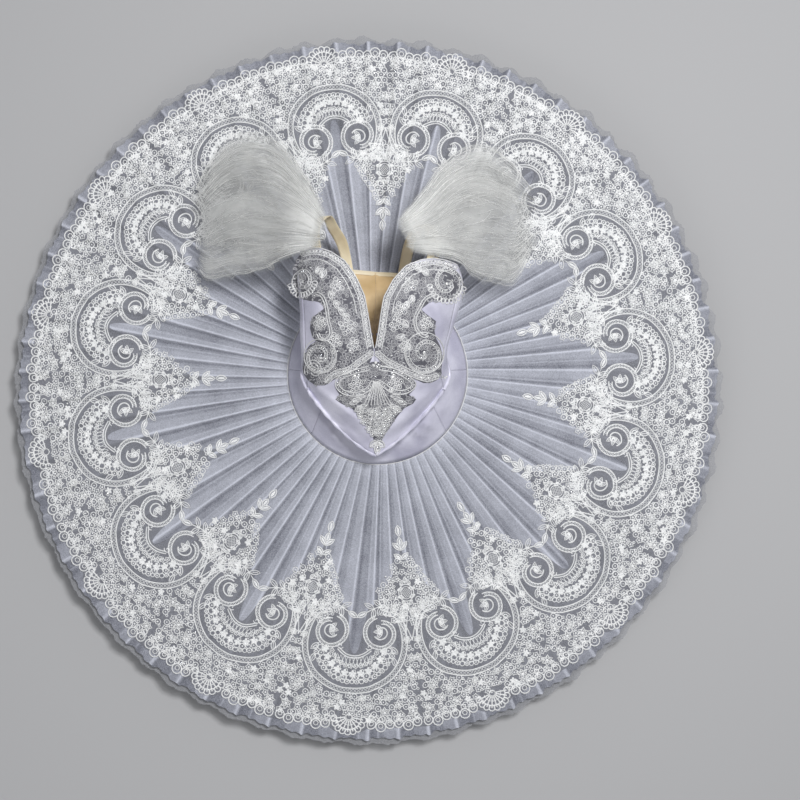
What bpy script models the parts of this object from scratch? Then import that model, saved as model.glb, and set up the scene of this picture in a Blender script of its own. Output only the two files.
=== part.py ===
"""Ballet tutu with a pancake skirt, lying on a flat surface with its bodice leaning back.

Metres, +Z up.  The origin is on the surface, under the middle of the skirt's rim, and +Y runs
from the pointed front of the bodice to its back.  The skirt is a plate of knife-pleated net over
seven shorter net layers, all sewn round the hip.  A satin basque rises from the hip to a waist
that tips back, and the bodice is a tube of panels lying on its back on the plate.
"""
import math

import bmesh
import bpy
from mathutils import Vector

MM = 0.001

# Driving dimensions
WALL = 1.2 * MM                 # cloth
SEAM_GAP = 0.5 * MM             # half the gap between pieces at a seam
LAY_GAP = 0.45 * MM             # between a panel and what lies on it
HIP_CENTRE = Vector((14 * MM, 23.5 * MM, 0))
HIP_RADIUS = 125.5 * MM         # of an 80 cm hip
RIM_RADIUS = 507 * MM
PLEATS = 70
PLEAT_LEAN = math.radians(2.5)  # how far a pleat turns from the rim to the hip
PLEAT_STEEP = 0.15              # the share of a pleat that is its steep side
PLEAT_HIP = 0.5 * MM            # half the pleat's height at the hip and at the rim
PLEAT_RIM = 3.0 * MM
PLATE_HIP_Z = 84 * MM
PLATE_RIM_Z = 50 * MM
REPEATS = 15                    # of the lace pattern round the rim

# How the rim of the skirt rises and falls: turns per round, height, phase
RIM_WAVES = [
    {"turns": 2, "height": 2.2 * MM, "phase": 0.6},
    {"turns": 3, "height": 1.8 * MM, "phase": 2.1},
    {"turns": 5, "height": 1.3 * MM, "phase": 4.0},
]

# How unevenly the pleats are spaced: how far each wave moves them, turns per round, phase
UNEVEN = [
    {"turns": 3, "degrees": 0.8, "phase": 1.0},
    {"turns": 7, "degrees": 0.5, "phase": 0.0},
]

# The net layers from the plate down: how far each reaches (share of the plate's width), its
# heights at the hip and at its own edge in mm, folds per round, depth of the folds' points
NET_LAYERS = [
    {"name": "net_layer_2", "reach": 1.018, "hip_z": 76, "edge_z": 41, "folds": 70, "tooth": 3.5},
    {"name": "net_layer_3", "reach": 0.985, "hip_z": 67, "edge_z": 33, "folds": 35, "tooth": 3},
    {"name": "net_layer_4", "reach": 0.90, "hip_z": 58, "edge_z": 26, "folds": 24, "tooth": 3},
    {"name": "net_layer_5", "reach": 0.78, "hip_z": 48, "edge_z": 20, "folds": 24, "tooth": 3},
    {"name": "net_layer_6", "reach": 0.64, "hip_z": 37, "edge_z": 14, "folds": 24, "tooth": 3},
    {"name": "net_layer_7", "reach": 0.50, "hip_z": 25, "edge_z": 8, "folds": 24, "tooth": 3},
]
BASE_REACH = 0.40               # the lowest layer, pressed flat on the surface
BASE_SIDES = 48

# The lace border's inner edge over half a repeat, from the pendant's tip to the notch beside it:
# turn (share of a repeat), how far out from the hip (share of the plate's width)
LACE_EDGE = [
    {"turn": 0.00, "out": 0.235},
    {"turn": 0.05, "out": 0.330},
    {"turn": 0.12, "out": 0.385},
    {"turn": 0.22, "out": 0.450},
    {"turn": 0.36, "out": 0.500},
    {"turn": 0.43, "out": 0.530},
    {"turn": 0.47, "out": 0.640},
    {"turn": 0.50, "out": 0.680},
]
LACE_PHASE = 0.36               # where in a repeat the pattern is at angle 0
LACE_OUT = 0.965                # where the scalloped outer edge lies
LACE_LOBE = 0.014               # and how far its lobes stand out
LACE_LIFT = 1.9 * MM            # of the lace's middle over the plate's middle

# The basque: its seams as angles round the hip from +X, and the tipped waist it rises to
BASQUE_SEAMS = [
    {"name": "basque_back_right", "start": 3, "end": 90},
    {"name": "basque_back_left", "start": 90, "end": 177},
    {"name": "basque_side_left", "start": 177, "end": 222},
    {"name": "basque_front", "start": 222, "end": 320},
    {"name": "basque_side_right", "start": 320, "end": 363},
]
BASQUE_FOOT_RADIUS = 127.5 * MM
BASQUE_FOOT_Z = 86.2 * MM
BASQUE_STEP = 11                # degrees between its lines
WAIST_HALF = 91 * MM
WAIST_FRONT = {"y": -46 * MM, "z": 167 * MM}
WAIST_BACK = {"y": 48 * MM, "z": 135 * MM}

# The bodice's sections, in mm from the hip's centre, from its pointed lower edge to its top:
# the crown of the front, the side seams, the middle of the back, where the left side, the centre
# front seam and the right side are across, and how square the front is (2 is an ellipse)
BODICE_SECTIONS = [
    {"front_y": -113, "front_z": 131, "side_y": -6, "side_z": 156, "back_y": 54, "back_z": 142,
     "left": -103, "seam": -3, "right": 100, "square": 1.25},
    {"front_y": -70, "front_z": 167, "side_y": 11, "side_z": 163, "back_y": 68, "back_z": 137,
     "left": -103, "seam": -3, "right": 97, "square": 1.60},
    {"front_y": -32, "front_z": 193, "side_y": 32, "side_z": 171, "back_y": 84, "back_z": 129,
     "left": -103, "seam": -3, "right": 96, "square": 1.90},
    {"front_y": 8, "front_z": 213, "side_y": 54, "side_z": 177, "back_y": 102, "back_z": 119,
     "left": -104, "seam": -2, "right": 99, "square": 2.10},
    {"front_y": 54, "front_z": 229, "side_y": 80, "side_z": 179, "back_y": 123, "back_z": 108,
     "left": -104, "seam": -2, "right": 107, "square": 2.30},
    {"front_y": 108, "front_z": 239, "side_y": 110, "side_z": 175, "back_y": 147, "back_z": 99,
     "left": -107, "seam": -3, "right": 116, "square": 2.45},
    {"front_y": 170, "front_z": 241, "side_y": 145, "side_z": 168, "back_y": 176, "back_z": 93,
     "left": -114, "seam": -4, "right": 125, "square": 2.60},
]
BODICE_RADIUS = 95 * MM         # about, to turn a seam's gap into degrees
BACK_SQUARE = 2.5
SKEW = 0.09                     # how far the right side lies below the left one, growing upward
CUP_HEIGHT = 9 * MM             # the fullness of each cup at its middle
CUP_TURN = 38                   # degrees round the bodice from the centre front
CUP_ALONG = 0.74
CUP_TURN_SIZE = 36
CUP_ALONG_SIZE = 0.30

# The bodice's panels, as degrees round it from the centre front
FRONT_END = 68
SIDE_END = 126
BACK_END = 180

# Its top edge: degrees round from the centre front, share of the bodice's length
NECK_EDGE = [
    {"turn": 0, "along": 0.585},
    {"turn": 2.5, "along": 0.670},
    {"turn": 4, "along": 0.735},
    {"turn": 6, "along": 0.810},
    {"turn": 12, "along": 0.880},
    {"turn": 20, "along": 0.935},
    {"turn": 30, "along": 0.965},
    {"turn": 39, "along": 0.980},
    {"turn": 50, "along": 0.985},
    {"turn": 62, "along": 0.985},
    {"turn": 74, "along": 0.930},
    {"turn": 90, "along": 0.850},
    {"turn": 126, "along": 0.790},
    {"turn": 150, "along": 0.830},
    {"turn": 180, "along": 0.815},
]

# The lines of the front panels' weave, as degrees round, and how many rows they are in.  The lace
# sewn on them takes its points from the same lines: (first, last) line and (first, last) row
FRONT_TURNS = [0.25, 2.5, 6, 12, 18, 26, 35, 46, 57, FRONT_END - 0.4]
FRONT_ROWS = 9
CUP_LACE = {"lines": (1, 8), "rows": (4, 9)}
POINT_LACE = {"lines": (0, 5), "rows": (0, 3)}
POINT_LAYERS = 1.4              # how far out the pointed lace lies, in layers of cloth

# The straps: degrees round the bodice where each is sewn behind and in front, how many degrees
# half its width spans there, and between them its way, in mm from the hip's centre
STRAPS = [
    {"name": "strap_left", "behind": -158, "spread_behind": 4, "before": -46, "spread_before": 5,
     "way": [(-49, 182, 122), (-60, 201, 144), (-70, 215, 172), (-83, 198, 200)]},
    {"name": "strap_right", "behind": 160, "spread_behind": 4, "before": 40, "spread_before": 5,
     "way": [(44, 177, 120), (53, 196, 138), (64, 205, 162), (77, 186, 192)]},
]
STRAP_WIDTH = 16 * MM
STRAP_LAYERS = 3.4              # how far inside the bodice it is sewn, in layers of cloth
SEWN_BEHIND = (0.94, 1.0)       # the shares of the bodice's height that its sewn ends cover
SEWN_BEFORE = (1.0, 0.95)

# The sleeves' sections in mm from the skirt's middle, from the shoulder to the free edge: the
# two ends of the flattened tube, the height of its middle and its depth
SLEEVE_LEFT = [
    {"back_x": -60, "back_y": 238, "front_x": -72, "front_y": 192, "z": 231, "deep": 11},
    {"back_x": -81, "back_y": 292, "front_x": -107, "front_y": 174, "z": 221, "deep": 16},
    {"back_x": -121, "back_y": 347, "front_x": -142, "front_y": 159, "z": 180, "deep": 28},
    {"back_x": -176, "back_y": 363, "front_x": -190, "front_y": 153, "z": 140, "deep": 28},
    {"back_x": -218, "back_y": 336, "front_x": -226, "front_y": 151, "z": 110, "deep": 22},
    {"back_x": -242, "back_y": 294, "front_x": -243, "front_y": 172, "z": 94, "deep": 15},
]
SLEEVE_RIGHT = [
    {"back_x": 53, "back_y": 224, "front_x": 101, "front_y": 184, "z": 230, "deep": 12},
    {"back_x": 70, "back_y": 264, "front_x": 123, "front_y": 170, "z": 221, "deep": 16},
    {"back_x": 108, "back_y": 319, "front_x": 146, "front_y": 155, "z": 180, "deep": 28},
    {"back_x": 155, "back_y": 348, "front_x": 180, "front_y": 144, "z": 140, "deep": 28},
    {"back_x": 200, "back_y": 332, "front_x": 209, "front_y": 147, "z": 110, "deep": 22},
    {"back_x": 236, "back_y": 290, "front_x": 242, "front_y": 207, "z": 94, "deep": 15},
]

SLEEVE_STEPS = 8
SLEEVE_SIDES = 16
SLEEVE_ROUNDING = 0.8           # under 1 makes the flattened tube's two ends blunter

COLOURS = {
    "satin": {"rgb": (0.74, 0.73, 0.80), "rough": 0.38},
    "net": {"rgb": (0.72, 0.74, 0.80), "rough": 0.80},
    "lace": {"rgb": (0.88, 0.89, 0.90), "rough": 0.55},
    "tulle": {"rgb": (0.80, 0.80, 0.77), "rough": 0.85},
    "lining": {"rgb": (0.80, 0.62, 0.36), "rough": 0.65},
    "binding": {"rgb": (0.93, 0.85, 0.70), "rough": 0.55},
    "elastic": {"rgb": (0.84, 0.73, 0.48), "rough": 0.60},
}


def clear_scene():
    for obj in list(bpy.data.objects):
        bpy.data.objects.remove(obj, do_unlink=True)


def collection_of(name):
    made = bpy.data.collections.new(name)
    bpy.context.scene.collection.children.link(made)
    return made


def material_of(name):
    """Its own material for one piece, in the colour of its cloth."""
    made = bpy.data.materials.new(name)
    made.use_nodes = True
    shader = made.node_tree.nodes["Principled BSDF"]
    shader.inputs["Base Color"].default_value = (*COLOURS[name]["rgb"], 1)
    shader.inputs["Roughness"].default_value = COLOURS[name]["rough"]
    shader.inputs["Metallic"].default_value = 0
    return made


def blend(a, b, share):
    return a + (b - a) * share


def steps_between(start, end, count):
    return [blend(start, end, i / count) for i in range(count + 1)]


def read_table(rows, key, at, value):
    """The value column of a table at a place in its key column, on straight lines between rows."""
    for low, high in zip(rows, rows[1:]):
        if at <= high[key]:
            share = (at - low[key]) / (high[key] - low[key])
            return blend(low[value], high[value], max(0.0, share))
    return rows[-1][value]


def section_at(rows, along):
    """All columns of a table of sections at a share of its length, on smooth curves."""
    place = min(max(along, 0.0), 1.0) * (len(rows) - 1)
    i = min(int(place), len(rows) - 2)
    f = place - i
    found = {}
    for key in rows[0]:
        p1, p2 = rows[i][key], rows[i + 1][key]
        p0 = rows[i - 1][key] if i > 0 else 2 * p1 - p2
        p3 = rows[i + 2][key] if i + 2 < len(rows) else 2 * p2 - p1
        found[key] = p1 + 0.5 * f * (
            p2 - p0 + f * (2 * p0 - 5 * p1 + 4 * p2 - p3 + f * (3 * (p1 - p2) + p3 - p0))
        )
    return found


def add_sheet(parts, name, rows, material, closed=False):
    """One cloth wall: a grid of points, a row at a time, thickened by Solidify."""
    mesh = bmesh.new()
    grid = [[mesh.verts.new(point) for point in row] for row in rows]
    for low, high in zip(grid, grid[1:]):
        for i in range(len(low) - (not closed)):
            j = (i + 1) % len(low)
            mesh.faces.new((low[i], low[j], high[j], high[i]))
    data = bpy.data.meshes.new(name)
    mesh.to_mesh(data)
    mesh.free()
    data.shade_smooth()
    obj = bpy.data.objects.new(name, data)
    parts.objects.link(obj)
    return thicken(obj, material)


def thicken(obj, material):
    obj.data.materials.append(material_of(material))
    wall = obj.modifiers.new("wall", "SOLIDIFY")
    wall.thickness = WALL
    wall.offset = 0
    wall.use_rim = True
    return obj


# The skirt

def rim_distance(angle):
    """How far the rim circle, whose middle is the origin, is from the hip's centre."""
    ahead = HIP_CENTRE.x * math.cos(angle) + HIP_CENTRE.y * math.sin(angle)
    return -ahead + math.sqrt(RIM_RADIUS ** 2 - HIP_CENTRE.length_squared + ahead ** 2)


def rim_wave(angle):
    return sum(w["height"] * math.sin(w["turns"] * angle + w["phase"]) for w in RIM_WAVES)


def polar(angle, distance, z):
    return HIP_CENTRE + Vector((distance * math.cos(angle), distance * math.sin(angle), z))


def pleat_lines(folds, stops):
    """(angle, fold height from -1 to 1) round the skirt, with a stop at each share of a fold."""
    lines = []
    for k in range(folds):
        for stop in stops:
            angle = 2 * math.pi * (k + stop) / folds
            uneven = sum(u["degrees"] * math.sin(u["turns"] * angle + u["phase"]) for u in UNEVEN)
            if stop < PLEAT_STEEP:
                height = 1 - 2 * stop / PLEAT_STEEP
            else:
                height = -1 + 2 * (stop - PLEAT_STEEP) / (1 - PLEAT_STEEP)
            lines.append((angle + math.radians(uneven), height))
    return lines


def skirt_line(angle, height, reach, hip_z, edge_z, tooth):
    """The straight line of a layer from the hip to its edge: its two end points."""
    hip = polar(angle + PLEAT_LEAN, HIP_RADIUS, hip_z + height * PLEAT_HIP)
    width = (rim_distance(angle) - HIP_RADIUS) * reach
    edge_height = edge_z + (rim_wave(angle) + height * PLEAT_RIM) * min(1.0, reach) ** 2
    edge = polar(angle, HIP_RADIUS + width + height * tooth, edge_height)
    return hip, edge


PLATE_STOPS = (0.0, PLEAT_STEEP, 0.575)
PLATE_TOOTH = 1.5 * MM


def plate_lines():
    return [
        (angle, *skirt_line(angle, height, 1.0, PLATE_HIP_Z, PLATE_RIM_Z, PLATE_TOOTH))
        for angle, height in pleat_lines(PLEATS, PLATE_STOPS)
    ]


def make_skirt_top(parts):
    lines = plate_lines()
    rows = [[hip for _, hip, _ in lines], [edge for _, _, edge in lines]]
    add_sheet(parts, "skirt_top", rows, "net", closed=True)


def make_net_layers(parts):
    for layer in NET_LAYERS:
        lines = [
            skirt_line(angle, height, layer["reach"], layer["hip_z"] * MM, layer["edge_z"] * MM,
                       layer["tooth"] * MM)
            for angle, height in pleat_lines(layer["folds"], (0.0, PLEAT_STEEP))
        ]
        rows = [[hip for hip, _ in lines], [edge for _, edge in lines]]
        add_sheet(parts, layer["name"], rows, "net", closed=True)


def make_base_layer(parts):
    """The shortest layer, which the rest of the skirt presses flat on the surface."""
    angles = [2 * math.pi * i / BASE_SIDES for i in range(BASE_SIDES)]
    rows = [
        [
            polar(a, HIP_RADIUS + (rim_distance(a) - HIP_RADIUS) * reach, WALL / 2)
            for a in angles
        ]
        for reach in (0.0, BASE_REACH)
    ]
    add_sheet(parts, "net_layer_8", rows, "net", closed=True)


def make_lace_border(parts):
    inner, outer = [], []
    lift = Vector((0, 0, LACE_LIFT))
    for angle, hip, edge in plate_lines():
        turn = (angle / (2 * math.pi) * REPEATS + LACE_PHASE) % 1.0
        turn = min(turn, 1 - turn)
        start = read_table(LACE_EDGE, "turn", turn, "out")
        lobe = LACE_LOBE * abs(math.cos(2 * math.pi * turn))
        inner.append(hip.lerp(edge, start) + lift)
        outer.append(hip.lerp(edge, LACE_OUT + lobe) + lift)
    add_sheet(parts, "lace_border", [inner, outer], "lace", closed=True)


# The basque and the panty

def basque_point(angle, up):
    """On the basque's middle surface: up is 0 at its foot and 1 at the tipped waist."""
    foot = polar(angle, BASQUE_FOOT_RADIUS, BASQUE_FOOT_Z)
    back = (1 + math.sin(angle)) / 2
    waist = HIP_CENTRE + Vector((
        WAIST_HALF * math.cos(angle),
        blend(WAIST_FRONT["y"], WAIST_BACK["y"], back),
        blend(WAIST_FRONT["z"], WAIST_BACK["z"], back),
    ))
    return foot.lerp(waist, up)


def make_basque(parts):
    gap = SEAM_GAP / WAIST_HALF
    for panel in BASQUE_SEAMS:
        start, end = math.radians(panel["start"]) + gap, math.radians(panel["end"]) - gap
        angles = steps_between(start, end, max(4, round(math.degrees(end - start) / BASQUE_STEP)))
        rows = [[basque_point(a, up) for a in angles] for up in (0.0, 0.5, 1.0)]
        add_sheet(parts, panel["name"], rows, "satin")


# The panty's half outline: distance from the middle and height, in mm
PANTY_OUTLINE = [(122, 83), (121, 45), (114, 14), (98, 4), (60, 2.4), (16, 2.4)]
LEG = {"x": 68 * MM, "half_width": 36 * MM, "half_length": 58 * MM, "depth": 60 * MM}


def make_panty(parts, cutters):
    """A shallow bowl under the hip, with a leg opening on each side of the crotch."""
    sides = 24
    rows = [
        [
            HIP_CENTRE + Vector((r * math.cos(a), r * math.sin(a), z)) * MM
            for a in (2 * math.pi * i / sides for i in range(sides))
        ]
        for r, z in PANTY_OUTLINE
    ]
    mesh = bmesh.new()
    grid = [[mesh.verts.new(point) for point in row] for row in rows]
    for high, low in zip(grid, grid[1:]):
        for i in range(sides):
            j = (i + 1) % sides
            mesh.faces.new((high[j], high[i], low[i], low[j]))
    mesh.faces.new(grid[-1])
    bmesh.ops.recalc_face_normals(mesh, faces=mesh.faces)
    data = bpy.data.meshes.new("panty")
    mesh.to_mesh(data)
    mesh.free()
    obj = bpy.data.objects.new("panty", data)
    parts.objects.link(obj)
    thicken(obj, "net")
    for name, side in (("leg_cutter_left", -1), ("leg_cutter_right", 1)):
        bpy.ops.mesh.primitive_cylinder_add(vertices=24, radius=1, depth=1)
        leg = bpy.context.object
        leg.name = name
        leg.scale = (LEG["half_width"], LEG["half_length"], LEG["depth"])
        leg.location = HIP_CENTRE + Vector((side * LEG["x"], 0, 0))
        leg.hide_render = True
        leg.display_type = "WIRE"
        for holder in list(leg.users_collection):
            holder.objects.unlink(leg)
        cutters.objects.link(leg)
        cut = obj.modifiers.new(name, "BOOLEAN")
        cut.operation = "DIFFERENCE"
        cut.object = leg


# The bodice

def bodice_surface(turn, along):
    """On the bodice: degrees round from the centre front (right is positive), share of length."""
    s = section_at(BODICE_SECTIONS, along)
    size = abs(turn)
    end, square = ("front", s["square"]) if size < 90 else ("back", BACK_SQUARE)
    reach = math.sin(math.radians(size))
    crown = (1 - reach ** square) ** (1 / square)
    x = blend(s["seam"], s["right"] if turn > 0 else s["left"], reach)
    y = blend(s["side_y"], s[end + "_y"], crown)
    z = blend(s["side_z"], s[end + "_z"], crown)
    far = math.hypot((size - CUP_TURN) / CUP_TURN_SIZE, (along - CUP_ALONG) / CUP_ALONG_SIZE)
    if far < 1:
        z += CUP_HEIGHT / MM * math.cos(far * math.pi / 2) ** 2
    y -= SKEW * (x - s["seam"]) * along
    return HIP_CENTRE + Vector((x, y, z)) * MM


def bodice_point(turn, along, out=0.0):
    """On the bodice, moved out from its surface (in, if out is negative)."""
    point = bodice_surface(turn, along)
    if out == 0:
        return point
    side = 1 if turn >= 0 else -1
    near = max(abs(turn) - 1.5, 0.2) * side
    far = min(abs(turn) + 1.5, 179.8) * side
    across = (bodice_surface(far, along) - bodice_surface(near, along)) * side
    up = bodice_surface(turn, min(along + 0.01, 1)) - bodice_surface(turn, max(along - 0.01, 0))
    return point + across.cross(up).normalized() * out


def neck_along(turn):
    return read_table(NECK_EDGE, "turn", abs(turn), "along")


def panel_rows(turns, low, high, count, out=0.0):
    """Rows of a panel between two shares of the way from the lower edge to the neck."""
    return [
        [bodice_point(turn, neck_along(turn) * up, out) for turn in turns]
        for up in steps_between(low, high, count)
    ]


def seam_turns(start, end, count):
    """Degrees round between two seams, short of each by half the seam's gap."""
    gap = math.degrees(SEAM_GAP / BODICE_RADIUS)
    return steps_between(start + gap, end - gap, count)


def make_bodice(parts):
    lay = WALL + LAY_GAP
    back = seam_turns(SIDE_END, BACK_END, 6)
    for word, side in (("left", -1), ("right", 1)):
        turns = [t * side for t in FRONT_TURNS]
        add_sheet(parts, "bodice_front_" + word, panel_rows(turns, 0, 1, FRONT_ROWS), "satin")
        turns = [t * side for t in seam_turns(FRONT_END, SIDE_END, 5)]
        add_sheet(parts, "bodice_side_" + word, panel_rows(turns, 0, 1, 6), "satin")
        rows = panel_rows([t * side for t in back], 0, 1, 6)
        add_sheet(parts, "bodice_back_" + word, rows, "satin")
        rows = panel_rows([t * side for t in back], 0, 1, 6, -lay)
        add_sheet(parts, "lining_back_" + word, rows, "lining")
    turns = [-t for t in back[1:]] + [t for t in reversed(back[1:])]
    add_sheet(parts, "back_binding", panel_rows(turns, 0.93, 1, 1, -2 * lay), "binding")


def make_bodice_lace(parts):
    lay = WALL + LAY_GAP
    first, last = CUP_LACE["rows"]
    low, high = CUP_LACE["lines"]
    for word, side in (("left", -1), ("right", 1)):
        turns = [t * side for t in FRONT_TURNS[low:high + 1]]
        rows = panel_rows(turns, first / FRONT_ROWS, last / FRONT_ROWS, last - first, lay)
        add_sheet(parts, "lace_cup_" + word, rows, "lace")
    first, last = POINT_LACE["rows"]
    low, high = POINT_LACE["lines"]
    half = FRONT_TURNS[low:high + 1]
    turns = [-t for t in reversed(half)] + half
    rows = panel_rows(turns, first / FRONT_ROWS, last / FRONT_ROWS, last - first, POINT_LAYERS * lay)
    add_sheet(parts, "lace_front_point", rows, "lace")


def make_straps(parts):
    inside = STRAP_LAYERS * (WALL + LAY_GAP)
    for strap in STRAPS:
        def sewn(turn, up, spread):
            return [bodice_point(t, neck_along(t) * up, -inside) for t in (turn - spread, turn + spread)]
        rows = [sewn(strap["behind"], up, -strap["spread_behind"]) for up in SEWN_BEHIND]
        way = [HIP_CENTRE + Vector(p) * MM for p in strap["way"]]
        for i, point in enumerate(way):
            ahead = way[min(i + 1, len(way) - 1)] - way[max(i - 1, 0)]
            across = Vector((1, 0, 0)) - ahead * (ahead.x / ahead.length_squared)
            half = across.normalized() * STRAP_WIDTH / 2
            rows.append([point - half, point + half])
        rows += [sewn(strap["before"], up, strap["spread_before"]) for up in SEWN_BEFORE]
        add_sheet(parts, strap["name"], rows, "elastic")


def make_sleeves(parts):
    """Each sleeve is a flattened tube, open at the shoulder and at its free edge."""
    for name, table in (("sleeve_left", SLEEVE_LEFT), ("sleeve_right", SLEEVE_RIGHT)):
        rows = []
        for step in range(SLEEVE_STEPS + 1):
            s = section_at(table, step / SLEEVE_STEPS)
            back = Vector((s["back_x"], s["back_y"], s["z"])) * MM
            front = Vector((s["front_x"], s["front_y"], s["z"])) * MM
            middle, half = (back + front) / 2, (back - front) / 2
            row = []
            for i in range(SLEEVE_SIDES):
                a = 2 * math.pi * i / SLEEVE_SIDES
                wide = math.copysign(abs(math.cos(a)) ** SLEEVE_ROUNDING, math.cos(a))
                deep = math.sin(a) * s["deep"] / 2 * MM
                row.append(middle + half * wide + Vector((0, 0, deep)))
            rows.append(row)
        add_sheet(parts, name, rows, "tulle", closed=True)


def main():
    clear_scene()
    parts = collection_of("ballet_tutu")
    cutters = collection_of("cutters")
    make_skirt_top(parts)
    make_net_layers(parts)
    make_base_layer(parts)
    make_lace_border(parts)
    make_basque(parts)
    make_panty(parts, cutters)
    make_bodice(parts)
    make_bodice_lace(parts)
    make_straps(parts)
    make_sleeves(parts)


main()
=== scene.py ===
"""The looks of the ballet tutu: net, lace, satin, beads and tulle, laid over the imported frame.

Lengths are in mm in the row's frame, unless a name says otherwise; meshes are made in metres.
"""

import math
import random

import bpy
import numpy as np
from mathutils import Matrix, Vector
from mathutils.bvhtree import BVHTree


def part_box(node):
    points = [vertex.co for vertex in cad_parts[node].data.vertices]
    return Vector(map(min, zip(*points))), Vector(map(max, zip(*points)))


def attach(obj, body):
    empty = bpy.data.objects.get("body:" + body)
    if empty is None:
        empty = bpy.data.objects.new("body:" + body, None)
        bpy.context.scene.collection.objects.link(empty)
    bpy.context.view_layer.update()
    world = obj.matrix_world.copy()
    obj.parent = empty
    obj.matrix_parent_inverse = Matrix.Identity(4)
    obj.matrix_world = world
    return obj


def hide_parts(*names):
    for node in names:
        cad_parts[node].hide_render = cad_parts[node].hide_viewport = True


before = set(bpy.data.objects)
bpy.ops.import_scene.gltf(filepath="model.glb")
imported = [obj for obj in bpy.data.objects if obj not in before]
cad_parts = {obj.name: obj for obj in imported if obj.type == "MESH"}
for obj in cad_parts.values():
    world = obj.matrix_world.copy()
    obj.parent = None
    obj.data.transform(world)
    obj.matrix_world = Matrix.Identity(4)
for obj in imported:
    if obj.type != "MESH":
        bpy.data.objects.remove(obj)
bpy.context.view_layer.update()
MM = 0.001
DEG = math.pi / 180
rng = random.Random(11)


def box_mm(node):
    low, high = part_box(node)
    return np.array(low) / MM, np.array(high) / MM


# ---------------------------------------------------------------- sizes taken from the frame

panty_low, panty_high = box_mm("panty")
plate_low, plate_high = box_mm("skirt_top")
foot_low, _ = box_mm("basque_side_right")

PANTY_INSET, RIM_INSET, PLATE_HALF_WALL, PLATE_DROP = 2.9, 1.3, 1.1, 34
HIP = (panty_low[:2] + panty_high[:2]) / 2
HIP_R = (panty_high[0] - panty_low[0]) / 2 + PANTY_INSET
RIM_R = (plate_high[0] - plate_low[0]) / 2 - RIM_INSET
PLATE_HIP_Z = plate_high[2] - PLATE_HALF_WALL
PLATE_RIM_Z = PLATE_HIP_Z - PLATE_DROP
PLEATS = 70
REPEATS = 15
HALF_REPEAT = 180 / REPEATS


# ---------------------------------------------------------------- meshes

def smooth_noise(x, y, size, seed=0):
    """A cheap smooth noise from -1 to 1, from crossing waves about size mm long."""
    total = 0.0
    for k in range(4):
        turn = seed * 1.7 + k * 2.4
        wave = 2 * math.pi / (size * (0.7 + 0.25 * k))
        total = total + np.sin((x * math.cos(turn) + y * math.sin(turn)) * wave + seed * 3.1 + k)
    return total / 4


def peak(x, middle, width):
    """A smooth peak, 1 high at its middle."""
    return np.exp(-((x - middle) / width) ** 2)


def noise_on(points, size, seed):
    """Smooth noise at each point of a grid, by its place in plan."""
    return smooth_noise(points[..., 0], points[..., 1], size, seed)


def unit(rows):
    """Each row scaled to length 1."""
    return rows / (np.linalg.norm(rows, axis=1, keepdims=True) + 1e-9)


def stands_for(node_name):
    """The piece takes the place of a CAD node, which is hidden."""
    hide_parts(node_name)


def make_mesh(name, points, faces, material, smooth=True):
    """An object from points in mm, riding on the frame."""
    mesh = bpy.data.meshes.new(name)
    mesh.from_pydata((np.asarray(points, float) * MM).tolist(), [], faces)
    if smooth:
        mesh.shade_smooth()
    mesh.materials.append(material)
    obj = bpy.data.objects.new(name, mesh)
    bpy.context.scene.collection.objects.link(obj)
    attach(obj, "root")
    return obj


def grid_faces(rows, columns, closed=False, start=0):
    faces = []
    for i in range(rows - 1):
        for j in range(columns if closed else columns - 1):
            k = (j + 1) % columns
            a, b = start + i * columns, start + (i + 1) * columns
            faces.append((a + j, a + k, b + k, b + j))
    return faces


def make_grid(name, points, material, closed=False, thick=0.0):
    """A cloth piece from a grid of points, rows x columns x 3, in mm."""
    points = np.asarray(points, float)
    rows, columns = points.shape[:2]
    obj = make_mesh(name, points.reshape(-1, 3), grid_faces(rows, columns, closed), material)
    if thick:
        wall = obj.modifiers.new("wall", "SOLIDIFY")
        wall.thickness = thick * MM
        wall.offset = 0
    return obj


def set_attribute(obj, name, values):
    """A value for each point of the mesh, which its material reads."""
    made = obj.data.attributes.new(name, "FLOAT", "POINT")
    made.data.foreach_set("value", np.asarray(values, float).ravel())


def area_m2(points, closed=False):
    """The area of a grid of points in mm, in square metres."""
    p = np.asarray(points, float) * MM
    if closed:
        p = np.concatenate([p, p[:, :1]], axis=1)
    a, b, c, d = p[:-1, :-1], p[:-1, 1:], p[1:, 1:], p[1:, :-1]
    one = np.linalg.norm(np.cross(b - a, c - a), axis=2)
    two = np.linalg.norm(np.cross(c - a, d - a), axis=2)
    return float((one.sum() + two.sum()) / 2)


# ---------------------------------------------------------------- materials

def new_material(name, colour, rough, **sockets):
    mat = bpy.data.materials.new(name)
    mat.use_nodes = True
    shader = mat.node_tree.nodes["Principled BSDF"]
    shader.inputs["Base Color"].default_value = (*colour, 1)
    shader.inputs["Roughness"].default_value = rough
    for key, value in sockets.items():
        shader.inputs[key.replace("_", " ")].default_value = value
    return mat, mat.node_tree, shader


def node(tree, kind, **values):
    made = tree.nodes.new(kind)
    for key, value in values.items():
        if key in made.inputs:
            made.inputs[key].default_value = value
        else:
            setattr(made, key, value)
    return made


def ramp(tree, source, low, high, start=0.0, end=1.0):
    """The source mapped from start..end to low..high."""
    made = node(tree, "ShaderNodeMapRange")
    made.inputs["From Min"].default_value = start
    made.inputs["From Max"].default_value = end
    made.inputs["To Min"].default_value = low
    made.inputs["To Max"].default_value = high
    tree.links.new(source, made.inputs["Value"])
    return made.outputs["Result"]


def tint(tree, factor, dark, light):
    made = node(tree, "ShaderNodeMix", data_type="RGBA")
    made.inputs["A"].default_value = (*dark, 1)
    made.inputs["B"].default_value = (*light, 1)
    tree.links.new(factor, made.inputs["Factor"])
    return made.outputs["Result"]


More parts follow.
